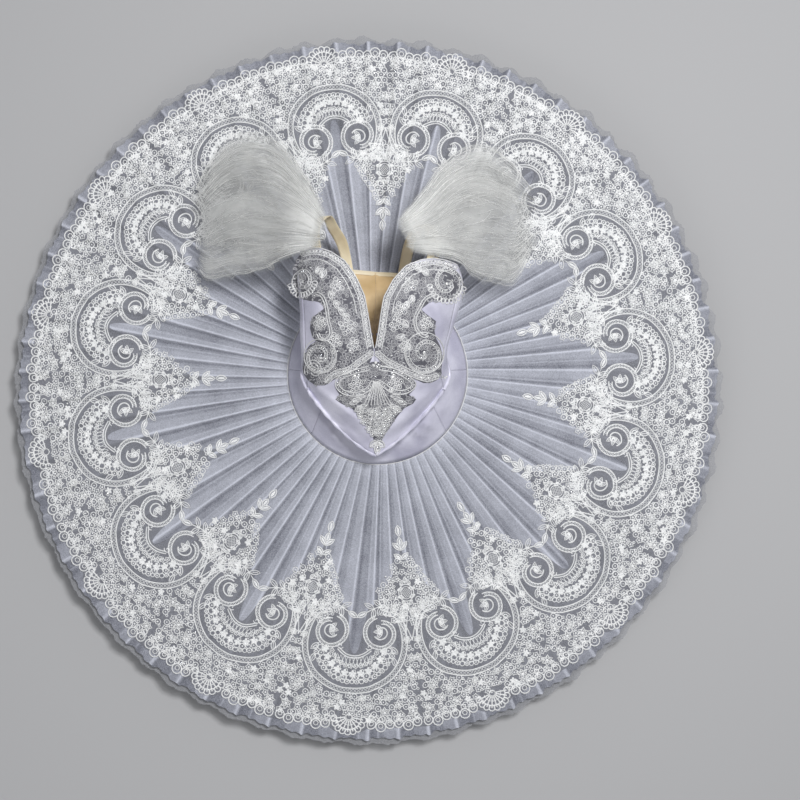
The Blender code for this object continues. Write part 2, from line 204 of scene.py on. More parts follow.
def add_bump(tree, shader, source, height_mm, strength=1.0):
    bump = node(tree, "ShaderNodeBump", Strength=strength, Distance=height_mm * MM)
    tree.links.new(source, bump.inputs["Height"])
    tree.links.new(bump.outputs["Normal"], shader.inputs["Normal"])


def combine(tree, operation, first, second):
    made = node(tree, "ShaderNodeMath", operation=operation)
    tree.links.new(first, made.inputs[0])
    tree.links.new(second, made.inputs[1])
    return made.outputs[0]


def blend_shaders(tree, factor, first, second):
    """The surface as a mix: the first shader where factor is 0, the second where it is 1."""
    mix = node(tree, "ShaderNodeMixShader")
    tree.links.new(factor, mix.inputs["Fac"])
    tree.links.new(first.outputs[0], mix.inputs[1])
    tree.links.new(second.outputs[0], mix.inputs[2])
    tree.links.new(mix.outputs[0], tree.nodes["Material Output"].inputs["Surface"])


def place(tree):
    return node(tree, "ShaderNodeTexCoord").outputs["Object"]


def texture(tree, kind, where, size_mm, output, **values):
    made = node(tree, kind, **values)
    made.inputs["Scale"].default_value = 1 / (size_mm * MM)
    tree.links.new(where, made.inputs["Vector"])
    return made.outputs[output]


def net_material(name, dark, light, hole_mm=1.5, see_through=0.0, attribute=None):
    """Fine net: cells between threads and a slight cloudiness.

    attribute names a value of the mesh, from 0 to 1, that makes the net whiter where it lies double
    and also brings in painted shade and painted highlight; see_through is the share of light let through
    between threads.
    """
    mat, tree, shader = new_material(name, light, 0.75, Sheen_Weight=0.25, Sheen_Roughness=0.4)
    where = place(tree)
    cells = texture(tree, "ShaderNodeTexVoronoi", where, hole_mm, "Distance",
                    feature="DISTANCE_TO_EDGE")
    clouds = texture(tree, "ShaderNodeTexNoise", where, 28, "Fac", Detail=3.0)
    grain = texture(tree, "ShaderNodeTexNoise", where, 1.6, "Fac", Detail=2.0)
    thread = ramp(tree, cells, 1, 0, 0.02, 0.22)
    weights = [(thread, 0.0, 0.22, 0, 1), (clouds, 0.0, 0.14, 0.3, 0.7), (grain, 0.0, 0.26, 0.3, 0.7)]
    if attribute:
        # the attribute adds the whiteness of doubled net, and painted shade and painted highlight, to the
        # colour
        doubling_and_shade = node(tree, "ShaderNodeAttribute", attribute_name=attribute).outputs["Fac"]
        weights.append((doubling_and_shade, -0.10, 0.72, 0, 1))
    total = None
    for source, low, high, start, end in weights:
        part = ramp(tree, source, low, high, start, end)
        total = part if total is None else combine(tree, "ADD", total, part)
    tree.links.new(tint(tree, total, dark, light), shader.inputs["Base Color"])
    add_bump(tree, shader, thread, 0.25, 0.6)
    if see_through:
        clear = node(tree, "ShaderNodeBsdfTransparent")
        blend_shaders(tree, ramp(tree, thread, see_through, see_through * 0.35), shader, clear)
    return mat


def satin_material(name, dark, light, rough=0.36):
    mat, tree, shader = new_material(name, light, rough, Sheen_Weight=0.15, Sheen_Roughness=0.3)
    where = place(tree)
    broad = texture(tree, "ShaderNodeTexNoise", where, 55, "Fac", Detail=3.0)
    fine = texture(tree, "ShaderNodeTexNoise", where, 0.9, "Fac", Detail=1.0)
    crease = texture(tree, "ShaderNodeTexNoise", where, 22, "Fac", Detail=2.0, Distortion=1.2)
    tree.links.new(tint(tree, ramp(tree, broad, 0, 1, 0.35, 0.65), dark, light),
                   shader.inputs["Base Color"])
    tree.links.new(ramp(tree, fine, rough - 0.06, rough + 0.08, 0.3, 0.7), shader.inputs["Roughness"])
    add_bump(tree, shader, crease, 1.6, 0.35)
    return mat


def thread_material(name, dark, light, rough=0.5):
    """Embroidery thread: a fine twist, with some strands catching the light."""
    mat, tree, shader = new_material(name, light, rough, Sheen_Weight=0.2, Specular_IOR_Level=0.6)
    where = place(tree)
    strands = texture(tree, "ShaderNodeTexNoise", where, 1.3, "Fac", Detail=2.0)
    patches = texture(tree, "ShaderNodeTexNoise", where, 16, "Fac", Detail=2.0)
    both = combine(tree, "MULTIPLY", ramp(tree, strands, 0.45, 1.0, 0.35, 0.65),
                   ramp(tree, patches, 0.8, 1.15, 0.3, 0.7))
    tree.links.new(tint(tree, both, dark, light), shader.inputs["Base Color"])
    tree.links.new(ramp(tree, strands, rough + 0.15, rough - 0.2, 0.3, 0.7), shader.inputs["Roughness"])
    add_bump(tree, shader, strands, 0.3, 0.5)
    return mat


def bead_material():
    """Cut beads and sequins: glossy, clear-coated, silver and pearl by turns."""
    mat, tree, shader = new_material("beads", (0.8, 0.8, 0.82), 0.16, Coat_Weight=0.8,
                                     Coat_Roughness=0.05, Specular_IOR_Level=0.9)
    which = texture(tree, "ShaderNodeTexNoise", place(tree), 5, "Fac", Detail=1.0)
    tree.links.new(tint(tree, ramp(tree, which, 0, 1, 0.4, 0.6), (0.50, 0.51, 0.55), (0.98, 0.98, 0.97)),
                   shader.inputs["Base Color"])
    tree.links.new(ramp(tree, which, 0.7, 0.1, 0.42, 0.58), shader.inputs["Metallic"])
    return mat


def tulle_material():
    """Gathered tulle: clear where it is one layer, whiter where the attribute says it is bunched."""
    mat, tree, shader = new_material("tulle", (0.70, 0.70, 0.68), 0.85, Sheen_Weight=0.3)
    where = place(tree)
    cells = texture(tree, "ShaderNodeTexVoronoi", where, 1.3, "Distance", feature="DISTANCE_TO_EDGE")
    bunched = node(tree, "ShaderNodeAttribute", attribute_name="bunched").outputs["Fac"]
    clouds = texture(tree, "ShaderNodeTexNoise", where, 30, "Fac", Detail=4.0)
    tree.links.new(tint(tree, bunched, (0.74, 0.75, 0.74), (0.94, 0.94, 0.92)), shader.inputs["Base Color"])
    add_bump(tree, shader, cells, 0.3, 0.5)
    opaque = combine(tree, "MULTIPLY", ramp(tree, bunched, 0.0, 0.98),
                     ramp(tree, clouds, 0.75, 1.2, 0.3, 0.7))
    blend_shaders(tree, opaque, node(tree, "ShaderNodeBsdfTransparent"), shader)
    return mat


# the plate's net, whose attribute carries painted shade and painted highlight along with the doubled net
NET = net_material("net", (0.11, 0.115, 0.145), (0.68, 0.70, 0.79), attribute="doubling_and_shade")
NET_UNDER = net_material("net_under", (0.28, 0.285, 0.31), (0.54, 0.545, 0.57), see_through=0.45)
LACE_NET = net_material("lace_net", (0.16, 0.165, 0.19), (0.46, 0.47, 0.52), hole_mm=2.2,
                        see_through=0.5)
# silver thread for the lace's ground, kept darker than the cords as painted shade between them
SILVER_SHADED = thread_material("silver_thread_shaded", (0.20, 0.20, 0.22), (0.60, 0.60, 0.62))
SILVER_CORD = thread_material("silver_cord", (0.42, 0.43, 0.45), (0.96, 0.96, 0.96), rough=0.3)
# net under the bodice lace, made nearly black as painted shade in the gaps between its threads
BODICE_NET_SHADED = net_material("bodice_net_shaded", (0.08, 0.08, 0.10), (0.24, 0.24, 0.27), hole_mm=1.8)
SATIN = satin_material("satin", (0.54, 0.53, 0.66), (0.82, 0.81, 0.94), rough=0.28)
THREAD = thread_material("lace_thread", (0.62, 0.64, 0.66), (0.97, 0.97, 0.97))
LINING = satin_material("lining", (0.58, 0.40, 0.19), (0.86, 0.65, 0.39), rough=0.55)
BINDING = satin_material("binding", (0.76, 0.64, 0.42), (0.90, 0.80, 0.60), rough=0.5)
ELASTIC = satin_material("elastic", (0.72, 0.60, 0.38), (0.95, 0.85, 0.62), rough=0.5)
BEAD = bead_material()
TULLE = tulle_material()
WISP = thread_material("tulle_thread", (0.62, 0.63, 0.62), (0.86, 0.86, 0.85), rough=0.7)


# ---------------------------------------------------------------- the pleated plate

PLEAT_LEAN = 2.5
PLEAT_STEEP = 0.20
NET_SINGLE, NET_RIDGE, NET_AT_EDGE = 0.20, 0.85, 0.22     # how light the net looks there: one layer, the ridges where it lies double with painted highlight, and less at the frayed edge
RIM_WAVES = [(2, 2.2, 0.6), (3, 1.8, 2.1), (5, 1.3, 4.0)]
pleat_size = np.array([rng.uniform(0.65, 1.3) for _ in range(PLEATS)])
pleat_shift = np.array([rng.uniform(-0.13, 0.13) for _ in range(PLEATS)])


def rim_distance(angle, radius=RIM_R):
    """From the hip's centre to a circle round the origin, along an angle in degrees."""
    a = np.asarray(angle) * DEG
    ahead = HIP[0] * np.cos(a) + HIP[1] * np.sin(a)
    return -ahead + np.sqrt(radius ** 2 - HIP @ HIP + ahead ** 2)


def polar_xy(angle, distance):
    a = np.asarray(angle) * DEG
    return HIP[0] + distance * np.cos(a), HIP[1] + distance * np.sin(a)


def fold_height(phase):
    """A knife pleat's height, -1 to 1, at a phase counted in pleats: a steep fold, a long ramp."""
    k = np.floor(phase).astype(int) % PLEATS
    f = phase - np.floor(phase)
    steep = PLEAT_STEEP * (1 + 2 * pleat_shift[k])
    drop = np.clip(f / steep, 0, 1)
    climb = np.clip((f - steep) / (1 - steep), 0, 1)
    down = 1 - 2 * drop * drop * (3 - 2 * drop)
    up = -1 + 2 * (0.25 * climb + 0.75 * climb ** 2)
    size = pleat_size[k] * (1 - f) + pleat_size[(k + 1) % PLEATS] * f
    return np.where(f < steep, down, up) * size


def pleat_phase(angle):
    """An angle at the rim counted in pleats, which bunch up a little here and there."""
    return (angle - 0.8 * np.sin(3 * angle * DEG + 1) - 0.5 * np.sin(7 * angle * DEG)) * PLEATS / 360


def rim_waves(angle):
    return sum(height * np.sin(times * angle * DEG + start) for times, height, start in RIM_WAVES)


def in_pleats(x, y):
    """Distance from the hip, distance of the rim, angle where this pleat meets the rim, and phase."""
    dx, dy = x - HIP[0], y - HIP[1]
    distance = np.hypot(dx, dy)
    angle = np.degrees(np.arctan2(dy, dx)) % 360
    rim = rim_distance(angle)
    lean = PLEAT_LEAN * HIP_R * (rim - distance) / ((rim - HIP_R) * np.maximum(distance, 60))
    return distance, rim, angle - lean, pleat_phase(angle - lean)


def plate_height(x, y):
    """The plate's surface over a point of the plan."""
    distance, rim, at_rim, phase = in_pleats(x, y)
    share = np.clip((distance - HIP_R) / (rim - HIP_R), 0, 1.05)
    fold = fold_height(phase)
    waves = rim_waves(at_rim)
    hip_z = PLATE_HIP_Z + fold * 0.7
    rim_z = PLATE_RIM_Z + waves + fold * 2.4
    soft = smooth_noise(x, y, 90, 2) * 0.8 * share
    return hip_z + (rim_z - hip_z) * share + soft


def doubling_and_shade_at(x, y):
    """How light the plate's net is: doubled net and painted highlight on ridges, painted shade past steep
    folds.
    """
    distance, _, _, phase = in_pleats(x, y)
    k = np.floor(phase).astype(int) % PLEATS
    f = phase - np.floor(phase)
    under = np.clip((f - 0.52 - pleat_shift[k]) / 0.12, 0, 1) * 0.22
    # ridge and crease: whiter lines where the net lies double, with a painted highlight along them
    ridge = NET_RIDGE * (peak(f, 1, 0.05) + peak(f, 0, 0.04)) * pleat_size[k]
    crease = 0.35 * peak(f, 0.45 + 2 * pleat_shift[k], 0.035)
    # painted shade: a dark band on the steep side of each fold
    shade = -0.30 * peak(f, PLEAT_STEEP, 0.06)
    # patch: tone that differs at random, and painted light near the hip that lifts the shade beside the
    # basque
    patch = smooth_noise(x, y, 120, 7) * 0.10 + 0.28 * np.exp(-(distance - HIP_R) / 22)
    return np.clip(NET_SINGLE + under + ridge + crease + shade + patch, 0, 1)


def net_ring(name, node_name, x, y, z, material):
    """A ring of net from its plan and its heights, and its area in square metres."""
    points = np.stack([x, y, np.broadcast_to(z, x.shape)], axis=2)
    obj = make_grid(name, points, material, closed=True)
    stands_for(node_name)
    return obj, area_m2(points, True)


def make_plate():
    """The top layer of net, in knife pleats, with a frayed rim that its folds make uneven."""
    lines = PLEATS * 20
    angles = np.arange(lines) * 360 / lines
    shares = np.linspace(0, 1, 36) ** 0.9
    rim = rim_distance(angles)
    upper_right = 0.4 + 0.6 * np.clip(np.cos((angles - 45) * DEG), 0, 1)
    fold = fold_height(pleat_phase(angles))
    fray = np.array([rng.uniform(-0.6, 0.6) for _ in range(lines)])
    rim = rim + 3.4 * fold * upper_right + 1.0 * np.sin(angles * 211 * DEG) + fray - 1.5
    distance = HIP_R + (rim - HIP_R)[None, :] * shares[:, None]
    x, y = polar_xy(angles[None, :], distance)
    obj, area = net_ring("skirt_top_net", "skirt_top", x, y, plate_height(x, y), NET)
    at_edge = np.clip((shares[:, None] - 0.94) / 0.03, 0, 1)
    # the net's doubling with its painted shade and painted highlight, less at the frayed edge
    set_attribute(obj, "doubling_and_shade", doubling_and_shade_at(x, y) - NET_AT_EDGE * at_edge)
    return obj, area


def make_under_layer(number, reach, hip_z, edge_z, folds, tooth, ragged):
    """One of the shorter net layers under the plate, with its own waves and a cut, frayed edge."""
    steps = 900 if number <= 3 else 360
    angles = np.arange(steps) * 360 / steps
    shares = np.array([0, 0.35, 0.7, 0.93, 1.0])
    wave = np.sin(angles * folds * DEG + number) * 0.65
    wave = wave + np.sin(angles * folds * 0.47 * DEG + 2 * number) * 0.35
    local = random.Random(number)
    fray = np.array([local.uniform(-1, 1) for _ in range(steps)])
    more = 0.5 + 0.5 * np.cos((angles - 40) * DEG)
    edge = HIP_R + (rim_distance(angles) - HIP_R) * reach
    edge = edge + wave * tooth * (0.6 + 0.9 * more) + fray * ragged
    distance = HIP_R + (edge - HIP_R)[None, :] * shares[:, None]
    x, y = polar_xy(angles[None, :], distance)
    lift = (rim_waves(angles) * min(1, reach) ** 2 + wave * 2.4)[None, :] * shares[:, None]
    z = hip_z + (edge_z - hip_z) * shares[:, None] + lift
    name = f"net_layer_{number}"
    return net_ring(name + "_net", name, x, y, z, NET_UNDER)


# ---------------------------------------------------------------- thread work

def turned(centre, along, across, turn):
    """Points of the plan round a centre, given along and across a direction."""
    c, s = math.cos(turn), math.sin(turn)
    return np.column_stack([centre[0] + along * c - across * s, centre[1] + along * s + across * c])


class Threads:
    """Thread, leaves and beads drawn in plan, which take their height from the cloth below."""

    def __init__(self, base=0.5):
        self.plan, self.faces, self.count, self.base = [], [], 0, base

    def add(self, plan, lifts, faces):
        start = self.count
        self.plan.append(np.column_stack([plan, np.asarray(lifts) + self.base]))
        self.faces += [tuple(start + i for i in face) for face in faces]
        self.count += len(plan)

    def cord(self, line, width, rise, closed=False):
        line = np.asarray(line, float)
        n = len(line)
        ahead = np.roll(line, -1, 0) - np.roll(line, 1, 0)
        if not closed:
            ahead[0], ahead[-1] = line[1] - line[0], line[-1] - line[-2]
        ahead = unit(ahead)
        side = np.stack([-ahead[:, 1], ahead[:, 0]], 1) * width / 2
        plan = np.concatenate([line + side, line, line - side])
        lifts = [-0.3] * n + [rise] * n + [-0.3] * n
        faces = []
        for i in range(n if closed else n - 1):
            j = (i + 1) % n
            faces += [(i, j, n + j, n + i), (n + i, n + j, 2 * n + j, 2 * n + i)]
        self.add(plan, lifts, [face[::-1] for face in faces])

    def dome(self, centre, along, across, turn, rise, sides=8, point=0.0):
        """A raised oval; point pinches its two ends, so that it is a leaf."""
        a = np.arange(sides) * 2 * math.pi / sides
        u = np.cos(a) * along
        v = np.sin(a) * across * (1 - point * np.cos(a) ** 2)
        plan = np.vstack([turned(centre, u, v, turn), [centre]])
        faces = [(i, (i + 1) % sides, sides) for i in range(sides)]
        self.add(plan, [-0.3] * sides + [rise], faces)

    def ring(self, centre, radius, width, rise, sides=10, squash=1.0, turn=0.0):
        a = np.arange(sides) * 2 * math.pi / sides
        line = turned(centre, np.cos(a) * radius, np.sin(a) * radius * squash, turn)
        self.cord(line, width, rise, closed=True)

    def bead(self, centre, radius, rise, sides=6):
        self.dome(centre, radius, radius, 0, rise, sides)

    def flower(self, centre, radius, turn, rise=1.0, petals=5):
        for k in range(petals):
            a = turn + k * 2 * math.pi / petals
            c = (centre[0] + math.cos(a) * radius * 0.58, centre[1] + math.sin(a) * radius * 0.58)
            self.dome(c, radius * 0.46, radius * 0.36, a, rise, sides=7)
        self.bead(centre, radius * 0.26, rise * 1.3)

    def outline_flower(self, centre, radius, turn, width, rise, petals=5):
        n = petals * 3
        a = np.arange(n) * 2 * math.pi / n
        r = radius * (0.76 + 0.24 * np.cos(petals * a))
        line = np.column_stack([centre[0] + r * np.cos(a + turn), centre[1] + r * np.sin(a + turn)])
        self.cord(line, width, rise, closed=True)
        self.bead(centre, radius * 0.3, rise)

    def make(self, name, height, material, slot):
        plan = np.concatenate(self.plan)
        z = height(plan[:, 0], plan[:, 1]) + plan[:, 2]
        obj = make_mesh(name, np.column_stack([plan[:, :2], z]), self.faces, material)
        return obj


def offset_line(line, distance):
    line = np.asarray(line, float)
    ahead = unit(np.gradient(line, axis=0))
    return line + np.stack([-ahead[:, 1], ahead[:, 0]], 1) * distance


def resample(line, step):
    """Points spaced evenly along a line."""
    line = np.asarray(line, float)
    lengths = np.concatenate([[0], np.cumsum(np.linalg.norm(np.diff(line, axis=0), axis=1))])
    count = max(2, int(round(lengths[-1] / step)) + 1)
    at = np.linspace(0, lengths[-1], count)
    return np.column_stack([np.interp(at, lengths, line[:, k]) for k in (0, 1)])


def on_curve(rows, at):
    """The row at a place counted in rows, on a smooth curve through them all."""
    i = min(int(at), len(rows) - 2)
    f = at - i
    p1, p2 = rows[i], rows[i + 1]
    p0 = rows[i - 1] if i else 2 * p1 - p2
    p3 = rows[i + 2] if i + 2 < len(rows) else 2 * p2 - p1
    bend = 2 * p0 - 5 * p1 + 4 * p2 - p3 + f * (3 * (p1 - p2) + p3 - p0)
    return p1 + 0.5 * f * (p2 - p0 + f * bend)


def smooth_rows(rows, count):
    """Rows resampled along their length on smooth curves."""
    rows = np.asarray(rows, float)
    return np.array([on_curve(rows, at) for at in np.linspace(0, len(rows) - 1, count)])


def curve_through(points, step=2.0):
    return resample(smooth_rows(np.array(points, float), len(points) * 8), step)


def spiral(centre, start, turns, outer, inner, hold=0.0, step=14.0, squash=1.0):
    """A volute round a centre: hold is the share of its turn that keeps the outer radius."""
    n = max(6, int(abs(turns) / step))
    s = np.linspace(0, 1, n)
    shrink = np.clip((s - hold) / (1 - hold), 0, 1)
    radius = outer + (inner - outer) * shrink ** 0.8
    a = (start + turns * s) * DEG
    return np.column_stack([centre[0] + radius * np.cos(a), centre[1] + radius * np.sin(a) * squash])


# ---------------------------------------------------------------- the lace border

LACE_SCALE_R = 512.0     # the circle that lace distances are shares of
LACE_HUB, LACE_DEPTH = 128, 384     # the mean radius at share 0, and from there to share 1


def lace_distance(angle, out):
    rim = rim_distance(angle, LACE_SCALE_R)
    return HIP_R + 2.5 + (rim - HIP_R - 2.5) * out


def repeat_angle(turn):
    """Where a place in the pattern lies: turn counts repeats from the first arch's middle."""
    even = 3.75 + turn * 360 / REPEATS
    return even - 1.1 + 1.9 * np.cos((even - 50) * DEG)


class Motif:
    """One repeat of the border: (degrees from the arch's middle, share out) to the plan."""

    def __init__(self, number):
        self.number = number
        self.rng = random.Random(100 + number)

    def xy(self, degrees, out):
        angle = repeat_angle(self.number + np.asarray(degrees, float) * REPEATS / 360)
        x, y = polar_xy(angle, lace_distance(angle, np.asarray(out, float)))
        return np.column_stack([np.atleast_1d(x), np.atleast_1d(y)])

    def at(self, degrees, out):
        return self.xy(degrees, out)[0]

    def local(self, degrees, out, points, flip=1):
        """Points in mm (sideways, outward) round a place; flip mirrors them sideways."""
        here = self.at(degrees, out)
        outward = self.at(degrees, out + 0.01) - here
        outward /= np.linalg.norm(outward)
        sideways = np.array([-outward[1], outward[0]])
        points = np.asarray(points, float)
        return here + points[:, :1] * flip * sideways + points[:, 1:] * outward

    def heading(self, degrees, out):
        outward = self.at(degrees, out + 0.01) - self.at(degrees, out)
        return math.atan2(outward[1], outward[0])


ARCH = {"half": 10.4, "out": 0.625, "tall": 0.185}


def arch_line(motif, half, out, tall, start, end, count):
    a = np.linspace(start, end, count) * DEG
    return motif.xy(half * np.sin(a), out + tall * np.cos(a))


def draw_double(threads, line, gap, width, rise, bead_step=0.0, bead=1.4):
    for side in (-1, 1):
        threads.cord(offset_line(line, side * gap / 2), width, rise)
    if bead_step:
        for point in resample(line, bead_step)[1:-1]:
            threads.ring(point, bead, 0.8, rise * 0.8, sides=6)


def leaf(threads, start, direction, length, width, rise=0.9, full=False):
    """An outlined leaf with a vein; full raises its middle too."""
    t = np.linspace(0, 1, 6)
    half = np.sin(t * math.pi) ** 0.8 * width / 2
    along = np.concatenate([t, t[-2:0:-1]]) * length
    across = np.concatenate([half, -half[-2:0:-1]])
    outline = turned(start, along, across, direction)
    threads.cord(outline, 1.8 if full else 1.35, rise + 0.7, closed=True)
    middle, vein_end = turned(start, np.array([0.5, 0.8]) * length, np.zeros(2), direction)
    if full:
        threads.dome(middle, length * 0.36, width * 0.24, direction, rise, sides=8, point=0.5)
    else:
        threads.cord([start, vein_end], 1.1, rise + 0.3)


def draw_edge(threads, motif):
    """The scalloped outer edge: a ribbed fan at the arch's middle, and small loops between."""
    hub = (0.0, 0.905)
    for k in range(9):
        a = (k - 4) * 21 * DEG
        reaches = np.array([(5, 5), (21, 22), (21.5, 22.5)])
        root, tip, loop = motif.local(*hub, reaches * (math.sin(a), math.cos(a)))
        threads.cord(resample([root, tip], 6), 2.0, 1.5)
        threads.ring(loop, 4.4, 1.8, 1.4, sides=9)
    a = np.linspace(-95, 95, 18) * DEG
    for radius in (12, 18):
        threads.cord(motif.local(*hub, np.column_stack([np.sin(a) * radius, np.cos(a) * radius])), 1.0, 0.8)
    threads.ring(motif.at(*hub), 4.5, 1.4, 1.1, sides=9)
    for side in (-1, 1):
        for k in range(6):
            place_at = 3.7 + k * 1.48
            lobe = abs(math.sin((place_at - 2.9) / 4.55 * math.pi))
            out = 0.922 + 0.020 * lobe + motif.rng.uniform(-0.002, 0.002)
            radius = 5.4 + 1.8 * lobe
            threads.ring(motif.at(side * place_at, out), radius, 1.9, 2.2, sides=11)
            threads.ring(motif.at(side * place_at, out - 0.003), radius * 0.48, 1.3, 1.8, sides=7)
            threads.ring(motif.at(side * place_at, out - 0.026), radius * 0.50, 1.4, 1.4, sides=7)


# The larger blossoms: degrees either side of the arch's middle, share out, radius in mm
BLOOMS = [
    (3.5, 0.862, 7.5), (5.9, 0.890, 8.5), (8.3, 0.862, 7.5), (10.6, 0.892, 8.5),
    (9.3, 0.812, 8.0), (11.2, 0.765, 8.5), (11.3, 0.700, 7.0), (6.6, 0.835, 6.5),
    (2.0, 0.835, 6.0), (10.9, 0.635, 6.0), (10.6, 0.535, 6.5), (8.4, 0.515, 6.0),
]


# The tips' shape: share out, and half the width in degrees
TIP_WIDTHS = [
    (0.325, 0.9), (0.36, 3.0), (0.40, 5.2), (0.44, 6.8), (0.48, 7.8), (0.52, 6.6), (0.56, 4.4), (0.60, 3.2),
]


def tip_half_width(out):
    outs, widths = zip(*TIP_WIDTHS)
    return float(np.interp(out, outs, widths, left=0))


def in_ground(degrees, out):
    """Whether a place is in the dense ground between the arches and the scallops."""
    size = abs(degrees)
    for middle, reach, radius in BLOOMS:
        across = (size - middle) * DEG * (HIP_R + reach * LACE_DEPTH)
        if math.hypot(across, (out - reach) * LACE_DEPTH) < radius:
            return False
    arch = math.hypot(degrees / ARCH["half"], (out - ARCH["out"]) / ARCH["tall"])
    if out > 0.925 or (out > ARCH["out"] - 0.05 and arch < 1.085):
        return False
    if out > 0.895 and size < 2.3:
        return False
    to_tip = HALF_REPEAT - size
    if out >= ARCH["out"] - 0.03:
        return True
    return to_tip < tip_half_width(out) and not (to_tip < 2.6 and abs(out - 0.465) < 0.045)


def draw_ground(threads, motif, spacing=9.4):
    """Blossoms and loops packed over the dense parts, with small rings in the gaps."""
    row = 0
    out = 0.325
    while out < 0.94:
        radius = LACE_HUB + out * LACE_DEPTH
        step = spacing / radius / DEG
        start = -HALF_REPEAT + (row % 2) * step / 2
        for k in range(int(2 * HALF_REPEAT / step)):
            degrees = start + (k + 0.5) * step + motif.rng.uniform(-0.14, 0.14) * step
            here = out + motif.rng.uniform(-0.14, 0.14) * spacing / LACE_DEPTH
            if not in_ground(degrees, here):
                continue
            centre = motif.at(degrees, here)
            turn = motif.rng.uniform(0, 6.28)
            pick = motif.rng.random()
            if pick < 0.58:
                threads.outline_flower(centre, spacing * 0.55, turn, 1.35, 1.6)
            elif pick < 0.92:
                threads.ring(centre, spacing * 0.43, 1.4, 1.6, sides=8)
                threads.bead(centre, 1.2, 1.5, sides=5)
            else:
                threads.flower(centre, spacing * 0.55, turn, 1.7)
            gap = motif.local(degrees + step / 2, here, [(0, spacing * 0.30)])[0]
            threads.ring(gap, spacing * 0.19, 1.1, 1.0, sides=6)
        out += spacing * 0.86 / LACE_DEPTH
        row += 1


def draw_blooms(threads, motif):
    """The larger blossoms: an outline of petals round a ring with a raised eye."""
    for side in (-1, 1):
        for degrees, out, radius in BLOOMS:
            centre, turn = motif.at(side * degrees, out), motif.rng.uniform(0, 6.28)
            threads.outline_flower(centre, radius, turn, 1.7, 2.4, petals=6)
            threads.outline_flower(centre, radius * 0.62, turn + 0.5, 1.3, 2.6)


def draw_arch(threads, motif):
    """The arch: a beaded band, and on each side a volute with its stem, its curl and three leaves."""
    band = arch_line(motif, ARCH["half"], ARCH["out"], ARCH["tall"], -112, 112, 60)
    draw_double(threads, band, 7.4, 1.9, 1.7, bead_step=5.2, bead=2.2)
    for side in (-1, 1):
        eye = (side * 5.5, 0.598)
        centre, facing = motif.at(*eye), motif.heading(*eye) / DEG
        volute = spiral(centre, facing - side * 165, side * 345, 23.5, 14, hold=0.5)
        draw_double(threads, volute, 5.0, 1.7, 1.6, bead_step=4.6, bead=1.6)
        stem = motif.xy(side * np.array([11.7, 10.6, 9.2, 7.6, 6.2]),
                        [0.640, 0.585, 0.548, 0.534, 0.531])
        draw_double(threads, curve_through(stem, 4.0), 5.0, 1.7, 1.8)
        curl = spiral(centre, facing - side * 60, side * 430, 11.5, 3.0, hold=0.1)
        threads.cord(curl, 2.0, 1.7)
        for k in range(3):
            a = -side * (30 + k * 48)
            root = motif.local(*eye, [(side * 2, -1)])[0]
            leaf(threads, root, (facing + a - side * 10) * DEG, 13, 5.2)
    fill_arch(threads, motif)
    draw_bracket(threads, motif)


def fill_arch(threads, motif):
    """A garland, rows of small rings and blossoms, and two leaves a side, inside the arch."""
    garland = arch_line(motif, 6.4, 0.622, 0.128, -68, 68, 11)
    for k, point in enumerate(garland):
        threads.flower(point, 5.8, k * 1.3, 1.6)
        threads.ring(point + (2.5, 4.0), 2.2, 1.1, 1.2, sides=6)
    for half, tall, size, count in ((7.3, 0.142, 3.6, 18), (8.3, 0.156, 2.8, 25)):
        for k, point in enumerate(arch_line(motif, half, 0.622, tall, -72, 72, count)):
            threads.ring(point, size + (k % 3) * 0.4, 1.4, 1.6, sides=7)
            if k % 2:
                threads.bead(point, 1.3, 1.6, sides=5)
    inner = arch_line(motif, 5.2, 0.622, 0.100, -60, 60, 12)
    for k, point in enumerate(inner):
        threads.outline_flower(point, 4.0, k, 1.3, 1.2)
    for side in (-1, 1):
        facing = motif.heading(side * 7, 0.69)
        for k, (degrees, out, turn) in enumerate(((7.4, 0.652, 10), (7.7, 0.690, 35))):
            leaf(threads, motif.at(side * degrees, out), facing - side * turn * DEG + side * 0.9, 15, 6.5)


def draw_bracket(threads, motif):
    """The crossed threads under the arch's middle, with a double bracket and a curl at each end."""
    for k in range(11):
        degrees = (k - 5) * 0.72
        low, high = 0.688 - 0.0007 * degrees ** 2, 0.722 - 0.0008 * degrees ** 2
        for lean in (0.3, -0.3):
            threads.cord(motif.xy([degrees - lean, degrees + lean], [low, high]), 0.9, 0.8)
    bracket = motif.xy(np.linspace(-3.3, 3.3, 21), 0.688 - 0.0026 * np.linspace(-3.3, 3.3, 21) ** 2)
    draw_double(threads, bracket, 3.2, 1.7, 1.5)
    for side in (-1, 1):
        end, facing = motif.at(side * 3.0, 0.65), motif.heading(side * 3.0, 0.65) / DEG
        threads.cord(spiral(end, facing - side * 70, side * 380, 5.2, 1.4), 1.3, 1.1)


def draw_sprigs(threads, motif):
    """Leafy branches from each tip towards the slot under the arch."""
    for side in (-1, 1):
        s = np.linspace(0, 1, 6)
        line = motif.xy(side * (10.8 - 8.6 * s), 0.556 - 0.030 * s - 0.034 * np.sin(s * math.pi))
        threads.cord(line, 1.5, 1.2)
        for k in range(1, 6):
            step = line[k] - line[k - 1]
            facing = math.atan2(step[1], step[0])
            for lean in (-0.95, 0.95):
                leaf(threads, line[k - 1], facing + lean, 14.0 + (k % 2) * 2, 6.4)
        facing = math.atan2(*(line[-1] - line[-2])[::-1])
        leaf(threads, line[-1], facing, 16, 7, full=True)


